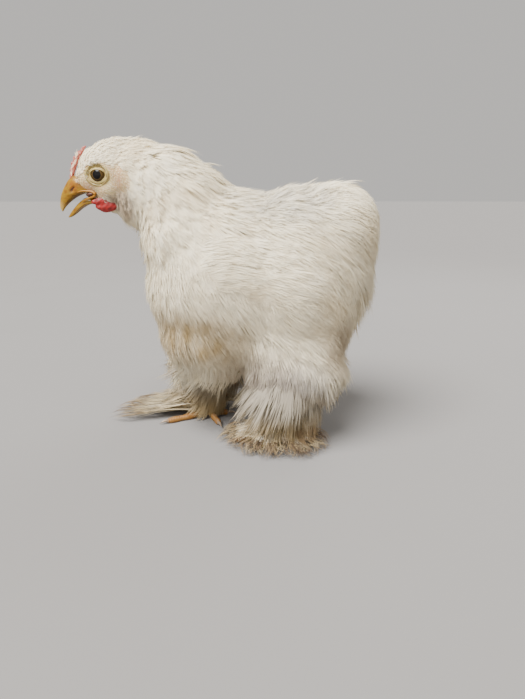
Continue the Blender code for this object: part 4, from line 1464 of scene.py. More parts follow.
def fan_barbs(count):
    """Barbs of a soft feather, all from near its root, with a rounded end."""
    barbs = []
    for index in range(count):
        side = 2 * index / (count - 1) - 1
        end = 1 - 0.24 * abs(side) ** 1.8
        start = 0.12 * (1 - abs(side)) * (1 if index % 2 else 0.4)
        barbs.append((start, end, side))
    return barbs


def vane_barbs(count):
    """A shaft and barbs that leave it in pairs and sweep forward to the vane's edge."""
    barbs = [(0.0, 0.98, 0.0)]
    for index in range(count):
        start = 0.04 + 0.8 * index / (count - 1)
        end = min(start + 0.22, 1)
        edge = math.sin(math.pi * min(end * 0.62 + 0.12, 1)) ** 0.6
        barbs += [(start, end, side * edge) for side in (-1, 1)]
    return barbs


def grow_fans(feathers, name, material, kind, floor=None):
    """Grow soft feathers with their kind's count, width and seed of barbs, and keep them off the floor."""
    count, width, seed = kind
    piece = feathers.grow(name, material, fan_barbs(count), width, COAT_SEED + seed)
    if floor is not None:
        keep_above(piece.data, floor)
    keep(piece, "plumage")


def make_coat(obj, skin, plumage):
    """The feathers of head, neck, body and thighs, in one mesh for each part of the coat."""
    roots, normals, maps = scatter(obj, COAT_SEED)
    lies, sizes = coat_at(roots)
    draw = np.random.default_rng(COAT_SEED + 1)
    lies += draw.standard_normal(lies.shape) * LIE_SCATTER
    ragged = sizes[:, 3] > RAGGED_FROM
    ragged_lengths = draw.uniform(*RAGGED_LENGTHS, len(roots))
    sizes[:, 0] *= np.where(ragged, ragged_lengths, draw.uniform(*EVEN_LENGTHS, len(roots)))
    sizes[:, 0] *= np.where(ragged & (draw.random(len(roots)) < LONG_SHARE), LONG_TIMES, 1)
    clumps = np.array(spread_out(roots, np.full(len(roots), CLUMP_SPREAD)))
    clump = clumps[nearest(roots, roots[clumps])]
    ends = roots[clump] + lies[clump] * sizes[clump, :1]
    gather = CLUMPING * sizes[:, 3:] * (sizes[:, :1] > LEAST_CLUMPED)
    lies += gather * ((ends - roots) / sizes[:, :1] - lies)
    wisps = (draw.random(len(roots)) < WISP_SHARE) & (sizes[:, 2] < WISP_COAT)
    sizes[:, 2] *= np.where(wisps, WISP_TIMES, 1)
    sizes[:, 3] += wisps * WISP_LOOSE
    names, middles = zip(*((name, place) for name, places in COAT_PIECES.items() for place in places))
    groups = {name: Feathers() for name in COAT_PIECES}
    for index, owner in enumerate(nearest(roots, np.array(middles))):
        length, half, depth, loose = sizes[index]
        patch = lay_patch(skin, roots[index], normals[index], lies[index], length, half)
        groups[names[owner]].add(patch, length, half, depth, loose, maps[index])
    for step, (name, feathers) in enumerate(groups.items()):
        small = name.startswith("coat_head")
        count = HEAD_BARBS if small else BODY_BARBS
        width = HEAD_BARB_WIDTH if small else BODY_BARB_WIDTH
        grow_fans(feathers, name, plumage, (count, width, 20 + step))


def nearest(points, places):
    """For each point, the index of the place nearest to it."""
    return ((points[:, None, :] - places[None]) ** 2).sum(axis=2).argmin(axis=1)


def make_face_hairs(obj, skin, plumage):
    """Sparse tiny hair feathers on the bare face."""
    draw = np.random.default_rng(COAT_SEED + 5)
    points = mesh_points(obj.data)
    normals = mesh_normals(obj.data)
    corners = np.empty(len(obj.data.loops), np.int32)
    obj.data.loops.foreach_get("vertex_index", corners)
    maps = np.zeros((len(points), 2))
    maps[corners] = loop_places(obj.data)
    near_eye = np.zeros(len(points), bool)
    for side in SIDES.values():
        centre, axis = (np.array(part) for part in eye_place(side))
        gaps = points - centre
        near_eye |= (gaps @ axis > 0) & (np.linalg.norm(gaps, axis=1) < EYE_CLEARANCE)
    picks = draw.permutation(np.flatnonzero(face_share(points) >= BARE_LIMIT))
    picks = picks[spread_out(points[picks], np.full(len(picks), FACE_HAIR_SPREAD))]
    lies, _ = coat_at(points[picks])
    lies = lies + draw.standard_normal(lies.shape) * FACE_HAIR_SCATTER
    hairs = Feathers()
    for index, lie in zip(picks, lies):
        if near_eye[index]:
            continue
        length = draw.uniform(*FACE_HAIR_LENGTHS)
        patch = lay_patch(skin, points[index], normals[index], lie, length, FACE_HAIR_HALF)
        hairs.add(patch, length, FACE_HAIR_HALF, *FACE_HAIR_COAT, maps[index])
    grow_fans(hairs, "face_hairs", plumage, FACE_HAIR_BARBS)


def make_comb_hairs(plumage):
    """Fine white feathers that lie up and back across the comb's sides."""
    draw = random.Random(COAT_SEED + 7)
    line = [Vector((0, *point)) for point in COMB_LINE]
    hairs = Feathers()
    for index in range(COMB_HAIRS):
        side = 1 if index % 2 else -1
        root = point_along(line, draw.uniform(0, 0.85))
        root += Vector((side * draw.uniform(1, 2), draw.uniform(-1.5, 1.5), 0))
        heading = Vector((side * draw.uniform(0, 0.12), draw.uniform(-0.25, 0.5), 1)).normalized()
        length = draw.uniform(*COMB_HAIR_LENGTHS)
        points = []
        for stretch in STRETCHES:
            bend = Vector((0, 0.25, 0)) * length * stretch ** 2
            points.append(root + heading * length * stretch + bend)
        patch = free_patch(points, [Vector((side, -0.3, 0))] * STATIONS, COMB_HAIR_HALF)
        hairs.add(patch, length, COMB_HAIR_HALF, *COMB_HAIR_COAT, (0.5, 0.5))
    grow_fans(hairs, "comb_hairs", plumage, COMB_HAIR_BARBS)


def spine_point(share):
    """A point on the wing's middle line, its half width and the line's direction there."""
    line = [Vector((0, *point)) for point in WING_SPINE]
    index, part = place_along(line, share)
    first, second = line[index:index + 2]
    half = WING_HALF[index] + (WING_HALF[index + 1] - WING_HALF[index]) * part
    return first.lerp(second, part), half, (second - first).normalized()


def flank_hit(form, side, point):
    """Where the flank lies straight in from the side at a point's height."""
    return form.shot(Vector((side * WING_ASIDE, point.y, point.z)), Vector((-side, 0, 0)))


def wing_form(side, skin):
    """The folded wing's own leaf-shaped form on the flank."""
    shape = bmesh.new()
    rings = []
    for ring in range(WING_RINGS + 1):
        place, half, along = spine_point(ring / WING_RINGS)
        index = ring / WING_RINGS * (len(WING_THICK) - 1)
        thick = float(np.interp(index, range(len(WING_THICK)), WING_THICK))
        across = Vector((0, -along.z, along.y))
        outer = []
        inner = []
        for step in range(WING_STEPS + 1):
            share = 2 * step / WING_STEPS - 1
            point = place + across * half * share
            hit = flank_hit(skin, side, point)
            reach = abs(hit.x) if hit else 20
            outer.append(Vector((side * (reach + thick * (1 - share ** 2)), point.y, point.z)))
            inner.append(Vector((side * (reach - WING_INSIDE), point.y, point.z)))
        rings.append(outer + inner[::-1])
    add_loft(shape, rings)
    return shape


def make_wing(side_name, skin, obj, skin_material, plumage):
    """The folded wing and its tiers of coverts and flight feathers."""
    side = SIDES[side_name]
    wing = make_object("folded_wing_" + side_name, wing_form(side, skin), skin_material)
    keep(wing, "plumage", "wing_" + side_name)
    both = Skin(obj, wing)
    draw = random.Random(COAT_SEED + side)
    flights = Feathers()
    coverts = Feathers()
    tiers = [(flights, *FLIGHT_COAT, tier) for tier in WING_FLIGHTS]
    tiers += [(coverts, *COVERT_COAT, tier) for tier in WING_COVERTS]
    for feathers, depth, loose, stagger, (place, count, length, half) in tiers:
        for index in range(count):
            middle, width, along = spine_point(place + draw.uniform(-0.05, 0.05) * stagger)
            up = Vector((0, -along.z, along.y))
            share = 0.9 * (2 * (index + draw.uniform(*ROW_STRAY)) / (count - 1) - 1)
            hit = flank_hit(both, side, middle + up * width * share)
            if hit is None:
                continue
            turn = Vector((0, draw.uniform(-0.06, 0.06), draw.uniform(-0.06, 0.06)))
            lie = along - up * 0.22 * share + turn
            start, normal = both.near(hit)
            reach = length * draw.uniform(0.94, 1.06)
            patch = lay_patch(both, start, normal, lie, reach, half)
            feathers.add(patch, reach, half, depth, loose, (0.5 + share * 0.2, 0.1 + place * 0.8))
    barb_count, width, seed = FLIGHT_BARBS
    barbs = vane_barbs(barb_count)
    piece = flights.grow("wing_flights_" + side_name, plumage, barbs, width, COAT_SEED + seed + side)
    keep(piece, "plumage")
    barb_count, width, seed = COVERT_BARBS
    grow_fans(coverts, "wing_coverts_" + side_name, plumage, (barb_count, width, seed + side))


def eye_place(side):
    """The ball's centre and its axis, which turns a little forward."""
    turn = math.radians(EYE_TURN)
    axis = Vector((side * math.cos(turn), -math.sin(turn), 0))
    cornea = Vector((side * EYE.x, EYE.y, EYE.z))
    return cornea - axis * EYE_RADIUS, axis


def eye_frame(side):
    """The ball's centre and axis, and what is across and up from it."""
    centre, axis = eye_place(side)
    across = axis.cross(UP).normalized() * side
    return centre, axis, across, UP


def make_eye(side_name):
    """A smooth ball whose front bulges as a cornea."""
    shape = bmesh.new()
    centre, axis = eye_place(SIDES[side_name])
    turn = axis.to_track_quat("Z", "Y").to_matrix().to_4x4()
    place = Matrix.Translation(spot(centre)) @ turn
    bmesh.ops.create_uvsphere(shape, u_segments=48, v_segments=32, radius=EYE_RADIUS * MM, matrix=place)
    eye = make_object("eyeball_" + side_name, shape, eye_paint(side_name))
    keep(eye, "eye", "eye_" + side_name)


def make_lids(side_name, skin, material):
    """Lids round the eye: a rim on the ball, a pale swollen ring, then creases out to the face."""
    centre, axis, across, up = eye_frame(SIDES[side_name])
    places, heights, darks = np.array(LID_FOLDS).T
    angles = [math.tau * step / LID_SIDES for step in range(LID_SIDES)]
    shape = bmesh.new()
    rows = []
    values = []
    for ring in range(LID_RINGS):
        share = ring / (LID_RINGS - 1)
        reaches = []
        depths = []
        for angle in angles:
            corner = abs(math.cos(angle))
            above = max(math.sin(angle), 0)
            inner = LID_OPENING[0] + LID_OPENING[1] * corner ** 6 - LID_OPENING[2] * above ** 1.5
            outer = LID_EDGE[0] + LID_EDGE[1] * corner ** 3 - LID_EDGE[2] * above
            reach = inner + (outer - inner) * share
            spoke = across * math.cos(angle) + up * math.sin(angle)
            hit = skin.shot(centre + spoke * reach + axis * 20, -axis)
            depths.append((hit - centre).dot(axis) if hit else EYE_RADIUS)
            reaches.append((reach, spoke))
        for _ in range(LID_ROUNDS):
            depths = [(depths[index - 1] + 2 * depths[index] + depths[(index + 1) % LID_SIDES]) / 4
                      for index in range(LID_SIDES)]
        row = []
        for (reach, spoke), depth in zip(reaches, depths):
            ball_height = (EYE_RADIUS + LID_GAP) ** 2 - min(reach, EYE_RADIUS) ** 2
            ball = math.sqrt(max(ball_height, 0))
            depth = max(depth, EYE_RADIUS - LID_SEAT)
            blend = min(1, share * 2.6) ** 0.8
            out = ball + (depth - ball) * blend + float(np.interp(share, places, heights))
            row.append(shape.verts.new(spot(centre + spoke * reach + axis * out)))
            dark = float(np.interp(share, places, darks))
            values.append(dark * (1 - BROW_LIGHT * max(spoke.z, 0)))
        rows.append(row)
    for first, second in zip(rows, rows[1:]):
        for step in range(LID_SIDES):
            following = (step + 1) % LID_SIDES
            shape.faces.new((first[step], first[following], second[following], second[step]))
    lids = make_object("lids_" + side_name, shape, material)
    mark(lids.data, "tip", values)
    if lids.data.polygons[0].normal.dot(axis) < 0:
        lids.data.flip_normals()
    wall = lids.modifiers.new("Wall", "SOLIDIFY")
    wall.thickness = LID_THICK * MM
    wall.offset = -1
    settle(lids)
    grain(lids, *LID_GRAIN)
    keep(lids, "face_skin")


def smooth_path(places, steps):
    """Places as one smooth run of so many, by Catmull-Rom."""
    flat = np.array(places, float)
    padded = np.vstack([flat[:1] * 2 - flat[1:2], flat, flat[-1:] * 2 - flat[-2:-1]])
    rows = []
    for step in range(steps + 1):
        index, part = place_along(flat, step / steps)
        before, first, second, after = padded[index:index + 4]
        rows.append(0.5 * (2 * first + (second - before) * part
                    + (2 * before - 5 * first + 4 * second - after) * part ** 2
                    + (3 * first - before - 3 * second + after) * part ** 3))
    return rows


def make_bill(name, stations, material):
    """One half of the bill: arched sections with a keel, hollowed a little along its cutting edges."""
    shape = bmesh.new()
    rings = []
    ridges = []
    flat = [(*ridge, *edge, half) for ridge, edge, half in stations]
    for ridge_y, ridge_z, edge_y, edge_z, half in smooth_path(flat, BILL_RINGS):
        edge = Vector((0, edge_y, edge_z))
        rise = Vector((0, ridge_y, ridge_z)) - edge
        half = max(half, THINNEST_BILL)
        ring = []
        for step in range(BILL_SIDES + 1):
            angle = math.pi * step / BILL_SIDES
            aside = Vector((half * math.cos(angle), 0, 0))
            ring.append(edge + aside + rise * math.sin(angle) ** BILL_ARCH)
            ridges.append(math.sin(angle) ** 4)
        for step in range(BILL_UNDERSIDE):
            share = 1 - 2 * (step + 1) / (BILL_UNDERSIDE + 1)
            hollow = rise * BILL_HOLLOW * (1 - share ** 2)
            ring.append(edge - Vector((half * share, 0, 0)) + hollow)
            ridges.append(0)
        rings.append(ring)
    add_loft(shape, rings)
    bill = make_object(name, shape, material)
    mark(bill.data, "tip", ridges)
    return bill


def press_nostrils(bill):
    """Sunk slits in the bill's sides, with a raised lip over each."""
    points = mesh_points(bill.data)
    normals = mesh_normals(bill.data)
    (y, z), (long, short), tilt = NOSTRIL
    turn = math.radians(tilt)
    gap_y = points[:, 1] - y
    gap_z = points[:, 2] - z
    along = (gap_y * math.cos(turn) + gap_z * math.sin(turn)) / long
    across = (-gap_y * math.sin(turn) + gap_z * math.cos(turn)) / short
    away = np.sqrt(along ** 2 + across ** 2)
    off_ridge = np.abs(points[:, 0]) > NOSTRIL_ASIDE
    lip = NOSTRIL_LIP * np.exp(-((away - 1.6) / 0.4) ** 2)
    depth = (NOSTRIL_DEPTH * np.clip(1.15 - away, 0, 1) - lip) * off_ridge
    place_points(bill.data, points - normals * depth[:, None])
    # The paint darkens this pit as painted shade.
    mark(bill.data, "pit", np.clip(1.3 - away, 0, 1) * off_ridge)


def make_mouth(materials):
    """The mouth behind the gape, dark red as painted shade, its yellow corners and the tongue."""
    shape = bmesh.new()
    for centre, half in MOUTH_MASSES:
        add_mass(shape, centre, half, MOUTH_TILT, finer=3)
    keep(make_object("mouth", shape, materials["mouth"]), "bill")
    shape = bmesh.new()
    turns = [math.tau * index / TONGUE_SIDES for index in range(TONGUE_SIDES)]
    start_y, start_z = TONGUE_START
    rings = []
    for step in range(TONGUE_RINGS + 1):
        share = step / TONGUE_RINGS
        middle = Vector((0, start_y - TONGUE_REACH * share, start_z - TONGUE_DROOP * share ** 2))
        half = TONGUE_HALF * (1 - share ** 3) + 0.2
        rings.append([
            middle + Vector((half * math.cos(turn), 0, 0.7 * half * math.sin(turn) * 0.45))
            for turn in turns])
    add_loft(shape, rings)
    keep(make_object("tongue", shape, materials["comb"]), "comb")
    for side_name, side in SIDES.items():
        *line, radii = np.array(smooth_path(GAPE_LINE, GAPE_RINGS)).T
        points = [Vector((side * x, y, z)) for x, y, z in zip(*line)]
        shape = bmesh.new()
        add_loft(shape, path_rings(points, radii, GAPE_SIDES))
        piece = make_object("gape_" + side_name, shape, materials["gape"])
        grain(piece, *GAPE_GRAIN)
        keep(piece, "bill")


def make_comb(material):
    """A low comb of rounded points that lean back, rough with small grains."""
    shape = bmesh.new()
    points = [Vector((0, *point)) for point in COMB_LINE]
    steps = COMB_POINTS * COMB_WAVE
    rings = []
    for step in range(steps + 1):
        index, part = place_along(points, step / steps)
        middle = points[index].lerp(points[index + 1], part)
        along = (points[index + 1] - points[index]).normalized()
        out = Vector((0, -along.z, along.y))
        # Lower at both ends, and between one rounded point and the next.
        taper = math.sin(math.pi * (0.12 + 0.8 * step / steps))
        wave = 0.5 - 0.5 * math.cos(math.tau * step / COMB_WAVE)
        height = COMB_HEIGHT * taper * (0.72 + 0.28 * wave)
        lean = along * height * COMB_LEAN
        half = COMB_THICK / 2 * taper ** 0.6
        ring = []
        for side in range(COMB_SIDES + 1):
            turn = math.pi * side / COMB_SIDES
            across = math.cos(turn) / max(abs(math.cos(turn)), 0.35)
            wide = half * (1 - 0.5 * math.sin(turn) ** 2) * across
            rise = (out * height + lean) * math.sin(turn) ** 0.6
            ring.append(middle + Vector((wide, 0, 0)) + rise - out * COMB_SINK)
        rings.append(ring)
    add_loft(shape, rings)
    comb = make_object("comb_flesh", shape, material)
    subdivide(comb, 2)
    grain(comb, *COMB_GRAIN)
    keep(comb, "comb", "comb")


def grain(obj, height, size, seed):
    """Move a mesh's points along their normals by smooth seeded waves, as grains and folds."""
    draw = np.random.default_rng(seed)
    points = mesh_points(obj.data)
    normals = mesh_normals(obj.data)
    total = np.zeros(len(points))
    for _ in range(GRAIN_WAVES):
        direction = draw.standard_normal(3)
        direction /= np.linalg.norm(direction)
        total += np.sin(points @ direction * math.tau / (size * draw.uniform(0.7, 1.6)) + draw.uniform(0, 6))
    place_points(obj.data, points + normals * (total / GRAIN_WAVES * height)[:, None])


def make_wattle(side_name, material):
    """A fleshy lobe under the jaw and a low fold that runs forward to the gape."""
    side = SIDES[side_name]
    shape = bmesh.new()
    for (x, y, z), half, tilt in WATTLE_LOBES:
        add_mass(shape, (side * x, y, z), half, tilt)
    wattle = make_object("wattle_lobe_" + side_name, shape)
    fuse(wattle, *WATTLE_FUSING, material)
    grain(wattle, *WATTLE_GRAIN)
    keep(wattle, "wattle", "wattle_" + side_name)


def path_rings(points, radii, sides, floor=None):
    """Rings round a bent path; with a floor, what would reach below it is laid flat on it."""
    rings = []
    for index, (point, radius) in enumerate(zip(points, radii)):
        along = heading_at(points, index)
        across = along.cross(UP).normalized()
        up = across.cross(along)
        ring = []
        for step in range(sides):
            angle = math.tau * step / sides
            corner = point + (across * math.cos(angle) + up * math.sin(angle)) * radius
            if floor is not None:
                corner.z = max(corner.z, floor)
            ring.append(corner)
        rings.append(ring)
    return rings


def toe_path(junction, tip):
    """Points and radii of a toe with its pads, and the way it heads."""
    end = Vector((*tip, TOE_RADIUS * 0.8))
    forward, _ = level_headings(junction, end)
    claw_start = end - forward * CLAW_LENGTH
    floor_height = TOE_RADIUS * 0.82
    points = []
    radii = []
    for step in range(TOE_RINGS + 1):
        share = step / TOE_RINGS
        point = junction.lerp(claw_start, share)
        drop = max(0, 1 - share * TOE_DROP) ** 2
        point.z = floor_height + (junction.z - floor_height) * drop
        points.append(point)
        # Pads swell along the toe, which narrows and closes at its end.
        pad = 1.03 - 0.09 * math.cos(math.tau * TOE_PADS * share)
        close = math.sqrt(max(1 - max(0, share - 0.93) ** 2 / 0.07 ** 2, 0.02))
        radii.append(TOE_RADIUS * pad * (1.1 - 0.25 * share) * close)
    return points, radii, forward


def foot_places(side_name):
    """Where a foot's toes join, its hock, and the line through its feathers' tips on the floor."""
    foot = FEET[side_name]
    fan = [Vector((*point, 0)) for point in foot["fan"]]
    return Vector(foot["junction"]), Vector(foot["hock"]), fan


def make_leg(side_name, materials):
    """Shank and toes with their scutes, and the claws."""
    junction, hock, _ = foot_places(side_name)
    shape = bmesh.new()
    points = [junction.lerp(hock, share) for share in np.linspace(*SHANK_REACH, SHANK_RINGS)]
    radii = np.interp(np.linspace(0, 1, SHANK_RINGS), SHANK_SHARES, SHANK_RADII)
    add_loft(shape, path_rings(points, radii, SHANK_SIDES))
    add_mass(shape, junction - Vector((0, 0, 1.5)), FOOT_PAD, finer=3)
    for point in shape.verts:
        point.co.z = max(point.co.z, 0)
    paths = []
    for toe_name, tip in FEET[side_name]["toes"].items():
        toe_points, toe_radii, forward = toe_path(junction, tip)
        add_loft(shape, path_rings(toe_points, toe_radii, TOE_SIDES, floor=0))
        paths.append((toe_points, toe_radii))
        make_claw(toe_name + "_" + side_name, toe_points[-1], forward, materials["claws"])
    leg = make_object("leg_" + side_name, shape)
    fuse(leg, *LEG_FUSING, materials["toes"])
    keep_above(leg.data, 0)
    keep(leg, "toes", "foot_" + side_name)
    shank = [junction.lerp(hock, share) for share in np.linspace(0.1, 1, 14)]
    paths.append((shank, [SHANK_SCUTES] * len(shank)))
    make_scutes("scutes_" + side_name, paths, materials["toes"])


def scute_tree():
    """Geometry nodes that set overlapping scutes along paths, each as wide as its path's radius."""
    tree = bpy.data.node_groups.new("scutes", "GeometryNodeTree")
    sockets = (
        ("Geometry", "INPUT", "Geometry"),
        ("Spacing", "INPUT", "Float"),
        ("Thickness", "INPUT", "Float"),
        ("Finish", "INPUT", "Material"),
        ("Geometry", "OUTPUT", "Geometry"),
    )
    for name, way, kind in sockets:
        tree.interface.new_socket(name, in_out=way, socket_type="NodeSocket" + kind)
    kinds = (
        "NodeGroupInput",
        "NodeGroupOutput",
        "GeometryNodeInputNamedAttribute",
        "GeometryNodeMeshToCurve",
        "GeometryNodeCurveToPoints",
        "GeometryNodeMeshUVSphere",
        "ShaderNodeCombineXYZ",
        "FunctionNodeRotateRotation",
        "GeometryNodeInstanceOnPoints",
        "GeometryNodeRealizeInstances",
        "GeometryNodeSetMaterial",
    )
    nodes = [tree.nodes.new(kind) for kind in kinds]
    start, end, radius, curve, places, ball, size, turn, copies, real, finish = nodes
    radius.data_type = "FLOAT"
    radius.inputs["Name"].default_value = "wide"
    places.mode = "LENGTH"
    ball.inputs["Segments"].default_value = 16
    ball.inputs["Rings"].default_value = 8
    ball.inputs["Radius"].default_value = 1
    turn.rotation_space = "LOCAL"
    turn.inputs["Rotate By"].default_value = (0, math.radians(SCUTE_TILT), 0)
    wires = (
        (start.outputs["Geometry"], curve.inputs[0]),
        (curve.outputs[0], places.inputs["Curve"]),
        (start.outputs["Spacing"], places.inputs["Length"]),
        (places.outputs["Points"], copies.inputs["Points"]),
        (places.outputs["Rotation"], turn.inputs["Rotation"]),
        (turn.outputs[0], copies.inputs["Rotation"]),
        (ball.outputs["Mesh"], copies.inputs["Instance"]),
        (radius.outputs["Attribute"], size.inputs["X"]),
        (radius.outputs["Attribute"], size.inputs["Y"]),
        (start.outputs["Thickness"], size.inputs["Z"]),
        (size.outputs[0], copies.inputs["Scale"]),
        (copies.outputs[0], real.inputs[0]),
        (real.outputs[0], finish.inputs["Geometry"]),
        (start.outputs["Finish"], finish.inputs["Material"]),
        (finish.outputs[0], end.inputs[0]),
    )
    for source, target in wires:
        tree.links.new(source, target)
    return tree


def make_scutes(name, paths, material):
    """Scutes in rows along the toes and up the shank."""
    shape = bmesh.new()
    wide = []
    for points, radii in paths:
        row = [shape.verts.new(spot(point + Vector((0, 0, SCUTE_LIFT)))) for point in points]
        for pair in zip(row, row[1:]):
            shape.edges.new(pair)
        wide += [radius * SCUTE_WIDTH * MM for radius in radii]
    mesh = bpy.data.meshes.new(name)
    shape.to_mesh(mesh)
    shape.free()
    obj = link(bpy.data.objects.new(name, mesh))
    mark(mesh, "wide", wide)
    tree = scute_tree()
    grow = obj.modifiers.new("Scutes", "NODES")
    grow.node_group = tree
    items = tree.interface.items_tree
    inputs = {item.name: item.identifier for item in items if item.in_out == "INPUT"}
    grow[inputs["Spacing"]] = SCUTE_SPACING * MM
    grow[inputs["Thickness"]] = SCUTE_THICK * MM
    grow[inputs["Finish"]] = material
    settle(obj)
    keep_above(obj.data, 0.02)
    obj.data.shade_smooth()
    keep(obj, "toes")


def make_claw(name, toe_end, forward, material):
    """A curved, pointed claw that comes out of the toe's end and just clears the floor."""
    points = []
    radii = []
    for step in range(CLAW_RINGS + 1):
        share = step / CLAW_RINGS
        point = toe_end + forward * (share * CLAW_LENGTH - CLAW_SET_IN)
        point.z = toe_end.z + CLAW_ARCH * math.sin(share * math.pi * 0.8) - CLAW_DROOP * share ** 2
        points.append(point)
        radii.append(CLAW_RADIUS * (1 - 0.86 * share ** 1.3))
    rings = path_rings(points, radii, CLAW_SIDES)
    rings.append([points[-1] + forward * 0.9 - Vector((0, 0, 0.25))])
    shape = bmesh.new()
    add_loft(shape, rings)
    keep(make_object("claw_horn_" + name, shape, material), "claws", "claw_" + name)


def make_fan(side_name, material):
    """Ragged feathers that fan out from the shank over the foot, lowest first."""
    junction, hock, fan = foot_places(side_name)
    draw = random.Random(COAT_SEED + 80 + SIDES[side_name])
    feathers = Feathers()
    for count, height, reach, half in FOOT_FEATHERS[side_name]:
        for index in range(count):
            share = (index + 0.5 + draw.uniform(*ROW_STRAY)) / count
            start = (height + draw.uniform(*HEIGHT_STRAY) - junction.z) / (hock.z - junction.z)
            root = junction.lerp(hock, start)
            far = reach * draw.uniform(0.78, 1.02)
            tip = Vector((root.x, root.y, 0)).lerp(point_along(fan, share), far)
            outward, side = level_headings(root, tip)
            root += outward * 2
            lift = FOOT_LIFT[side_name] * max(height - 12, 0)
            tip.z = 0.8 + (1 - far) * 9 + draw.uniform(0, 1.5) + lift
            bend = draw.uniform(-7, 7)
            points = []
            ups = []
            for stretch in STRETCHES:
                point = root.lerp(tip, stretch)
                point.z += FOOT_ARCH * math.sin(math.pi * stretch) * (1.2 - 0.4 * stretch)
                point += side * bend * stretch ** 2
                point.z = max(point.z, 0.7)
                points.append(point)
                ups.append(outward * 0.4 + UP + side * draw.uniform(-0.2, 0.2))
            place = (share, 0.1 + height * 0.03)
            feathers.add(free_patch(points, ups, half), (tip - root).length, half, *FOOT_COAT, place)
    grow_fans(feathers, "foot_feathers_" + side_name, material, FOOT_BARBS, FOOT_FLOOR)


def make_strands(side_name, material):
    """Thin curled barbs that lie loose round the foot's feathers."""
    junction, _, fan = foot_places(side_name)
    draw = random.Random(COAT_SEED + 110 + SIDES[side_name])
    strands = Feathers()
    for _ in range(STRANDS):
        share = draw.random()
        edge = point_along(fan, share)
        _, side = level_headings(junction, edge)
        root = Vector((junction.x, junction.y, 16)).lerp(edge, draw.uniform(0.6, 0.85))
        tip = Vector((junction.x, junction.y, 0)).lerp(edge, draw.uniform(1, 1.15))
        curl = draw.choice((-1, 1)) * draw.uniform(3, 8)
        lift = draw.uniform(2, 5)
        points = []
        for stretch in STRETCHES:
            point = root.lerp(tip, stretch) + side * curl * math.sin(stretch * 3.4)
            arch = lift * math.sin(math.pi * stretch)
            point.z = max(0.8, root.z * (1 - stretch) + arch + 0.8)
            points.append(point)
        patch = free_patch(points, [UP] * STATIONS, STRAND_HALF)
        strands.add(patch, (tip - root).length, STRAND_HALF, *STRAND_COAT, (share, 0.9))
    grow_fans(strands, "foot_strands_" + side_name, material, STRAND_BARBS, STRAND_FLOOR)


def make_leg_sleeve(side_name, material):
    """Loose feathers that hang round the shank and flare over the foot."""
    junction, _, _ = foot_places(side_name)
    top = LEG_TOP[side_name]
    draw = random.Random(COAT_SEED + 100 + SIDES[side_name])
    feathers = Feathers()
    for height, count, length, half, away in LEG_TIERS:
        for index in range(count):
            angle = math.tau * (index + draw.uniform(*ROW_STRAY)) / count
            outward = Vector((math.cos(angle), math.sin(angle), 0))
            high = HIGH_LEAN[side_name] if height > HIGH_TIERS else 0
            lean = LEG_LEAN[side_name] * (1 + high * max(-outward.y, 0))
            share = (height + draw.uniform(*HEIGHT_STRAY) - junction.z) / (top.z - junction.z)
            place = junction.lerp(top, share) + outward * away
            reach = length * draw.uniform(0.55, 1.2)
            points = [place.copy()]
            for stretch in STRETCHES[1:]:
                heading = outward * (0.5 - 0.1 * stretch) + Vector((0, 0, -0.9 - 0.3 * stretch))
                heading = (heading + lean * stretch).normalized()
                place = place + heading * reach / (STATIONS - 1)
                if place.z < LOWEST_SLEEVE:
                    place = place + outward * (LOWEST_SLEEVE - place.z) * 0.5
                    place.z = LOWEST_SLEEVE
                points.append(place.copy())
            patch = free_patch(points, [outward + Vector((0, 0, 0.05))] * STATIONS, half)
            feathers.add(patch, reach, half, *LEG_COAT, (index / count, height / 60))
    grow_fans(feathers, "leg_feathers_" + side_name, material, LEG_BARBS, LEG_FLOOR)


def make_camera():
    camera = bpy.data.cameras.new("camera")
    camera.lens = CAMERA_LENS
    camera.sensor_width = SENSOR_WIDTH
    camera.clip_start = 0.01
    obj = link(bpy.data.objects.new("camera", camera))
    pitch = math.radians(CAMERA_PITCH)
    facing = Matrix((
        (0, -math.sin(pitch), math.cos(pitch)),
        (1, 0, 0),
        (0, math.cos(pitch), math.sin(pitch)),
    ))
    obj.matrix_world = Matrix.Translation(CAMERA_PLACE) @ facing.to_4x4()
    bpy.context.scene.camera = obj


def aim_lamp(lamp, name, heading):
    obj = link(bpy.data.objects.new(name, lamp))
    obj.rotation_euler = heading.to_track_quat("-Z", "Y").to_euler()
    return obj


def make_light(name, place, aim, size, power):
    lamp = bpy.data.lights.new(name, "AREA")
    lamp.shape = "DISK"
    lamp.size = size
    lamp.energy = power
    aim_lamp(lamp, name, Vector(aim) - Vector(place)).location = place


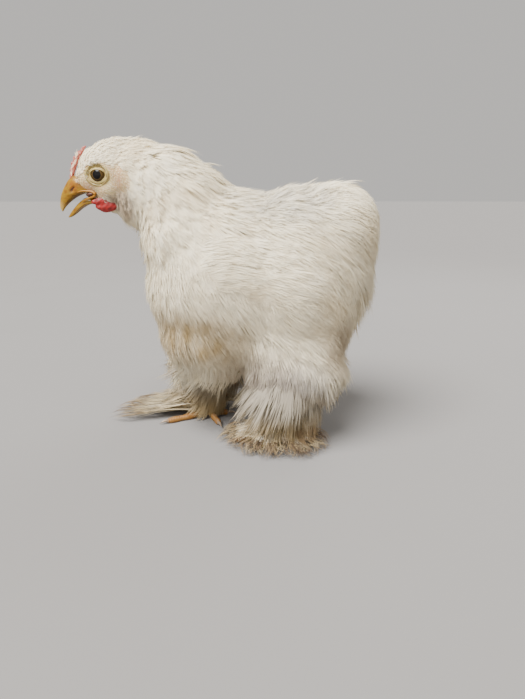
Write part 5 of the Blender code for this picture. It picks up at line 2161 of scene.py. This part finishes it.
def make_sun():
    """A broad soft sun, so that the floor is as light far off as it is near her."""
    lamp = bpy.data.lights.new("key", "SUN")
    lamp.energy = SUN_STRENGTH
    lamp.angle = math.radians(SUN_ANGLE)
    aim_lamp(lamp, "key", -Vector(SUN_PLACE))


def make_studio():
    """A plain pale floor, a broad soft light from above and a soft fill."""
    world = bpy.data.worlds.new("world")
    bpy.context.scene.world = world
    world.use_nodes = True
    background = world.node_tree.nodes["Background"]
    background.inputs["Color"].default_value = WORLD_COLOUR
    background.inputs["Strength"].default_value = WORLD_STRENGTH
    make_sun()
    make_light("fill", *FILL_LIGHT)
    make_light("rim", *RIM_LIGHT)
    shape = bmesh.new()
    bmesh.ops.create_circle(shape, cap_ends=True, segments=64, radius=FLOOR_RADIUS)
    floor = make_object("floor", shape, stage_paint())


def build():
    make_camera()
    make_studio()
    plumage = plumage_paint()
    skin_finish = skin_paint()
    materials = {
        "mouth": mouth_paint(),
        "gape": gape_paint(),
        "comb": comb_paint(),
        "toes": toe_paint(),
        "claws": claw_paint(),
    }
    form = outer_form()
    sink_coat(form)
    unwrap(form)
    dress(form, skin_finish)
    keep(form, "face_skin", "head", "neck", "torso", "tail", "thigh_left", "thigh_right")
    skin = Skin(form)
    make_coat(form, skin, plumage)
    make_face_hairs(form, skin, plumage)
    make_comb_hairs(plumage)
    lids = lid_paint()
    wattle = wattle_paint()
    foot_plumage = foot_plumage_paint()
    leg_plumage = leg_plumage_paint()
    strands = strand_paint()
    for side_name in SIDES:
        make_wing(side_name, skin, form, skin_finish, plumage)
        make_eye(side_name)
        make_lids(side_name, skin, lids)
        make_wattle(side_name, wattle)
        make_leg(side_name, materials)
        make_fan(side_name, foot_plumage)
        make_strands(side_name, strands)
        make_leg_sleeve(side_name, leg_plumage)
    bill = bill_paint()
    upper = make_bill("upper_bill", UPPER_BILL, bill)
    press_nostrils(upper)
    keep(upper, "bill", "bill_upper")
    keep(make_bill("lower_bill", LOWER_BILL, bill), "bill", "bill_lower")
    make_mouth(materials)
    make_comb(materials["comb"])


build()
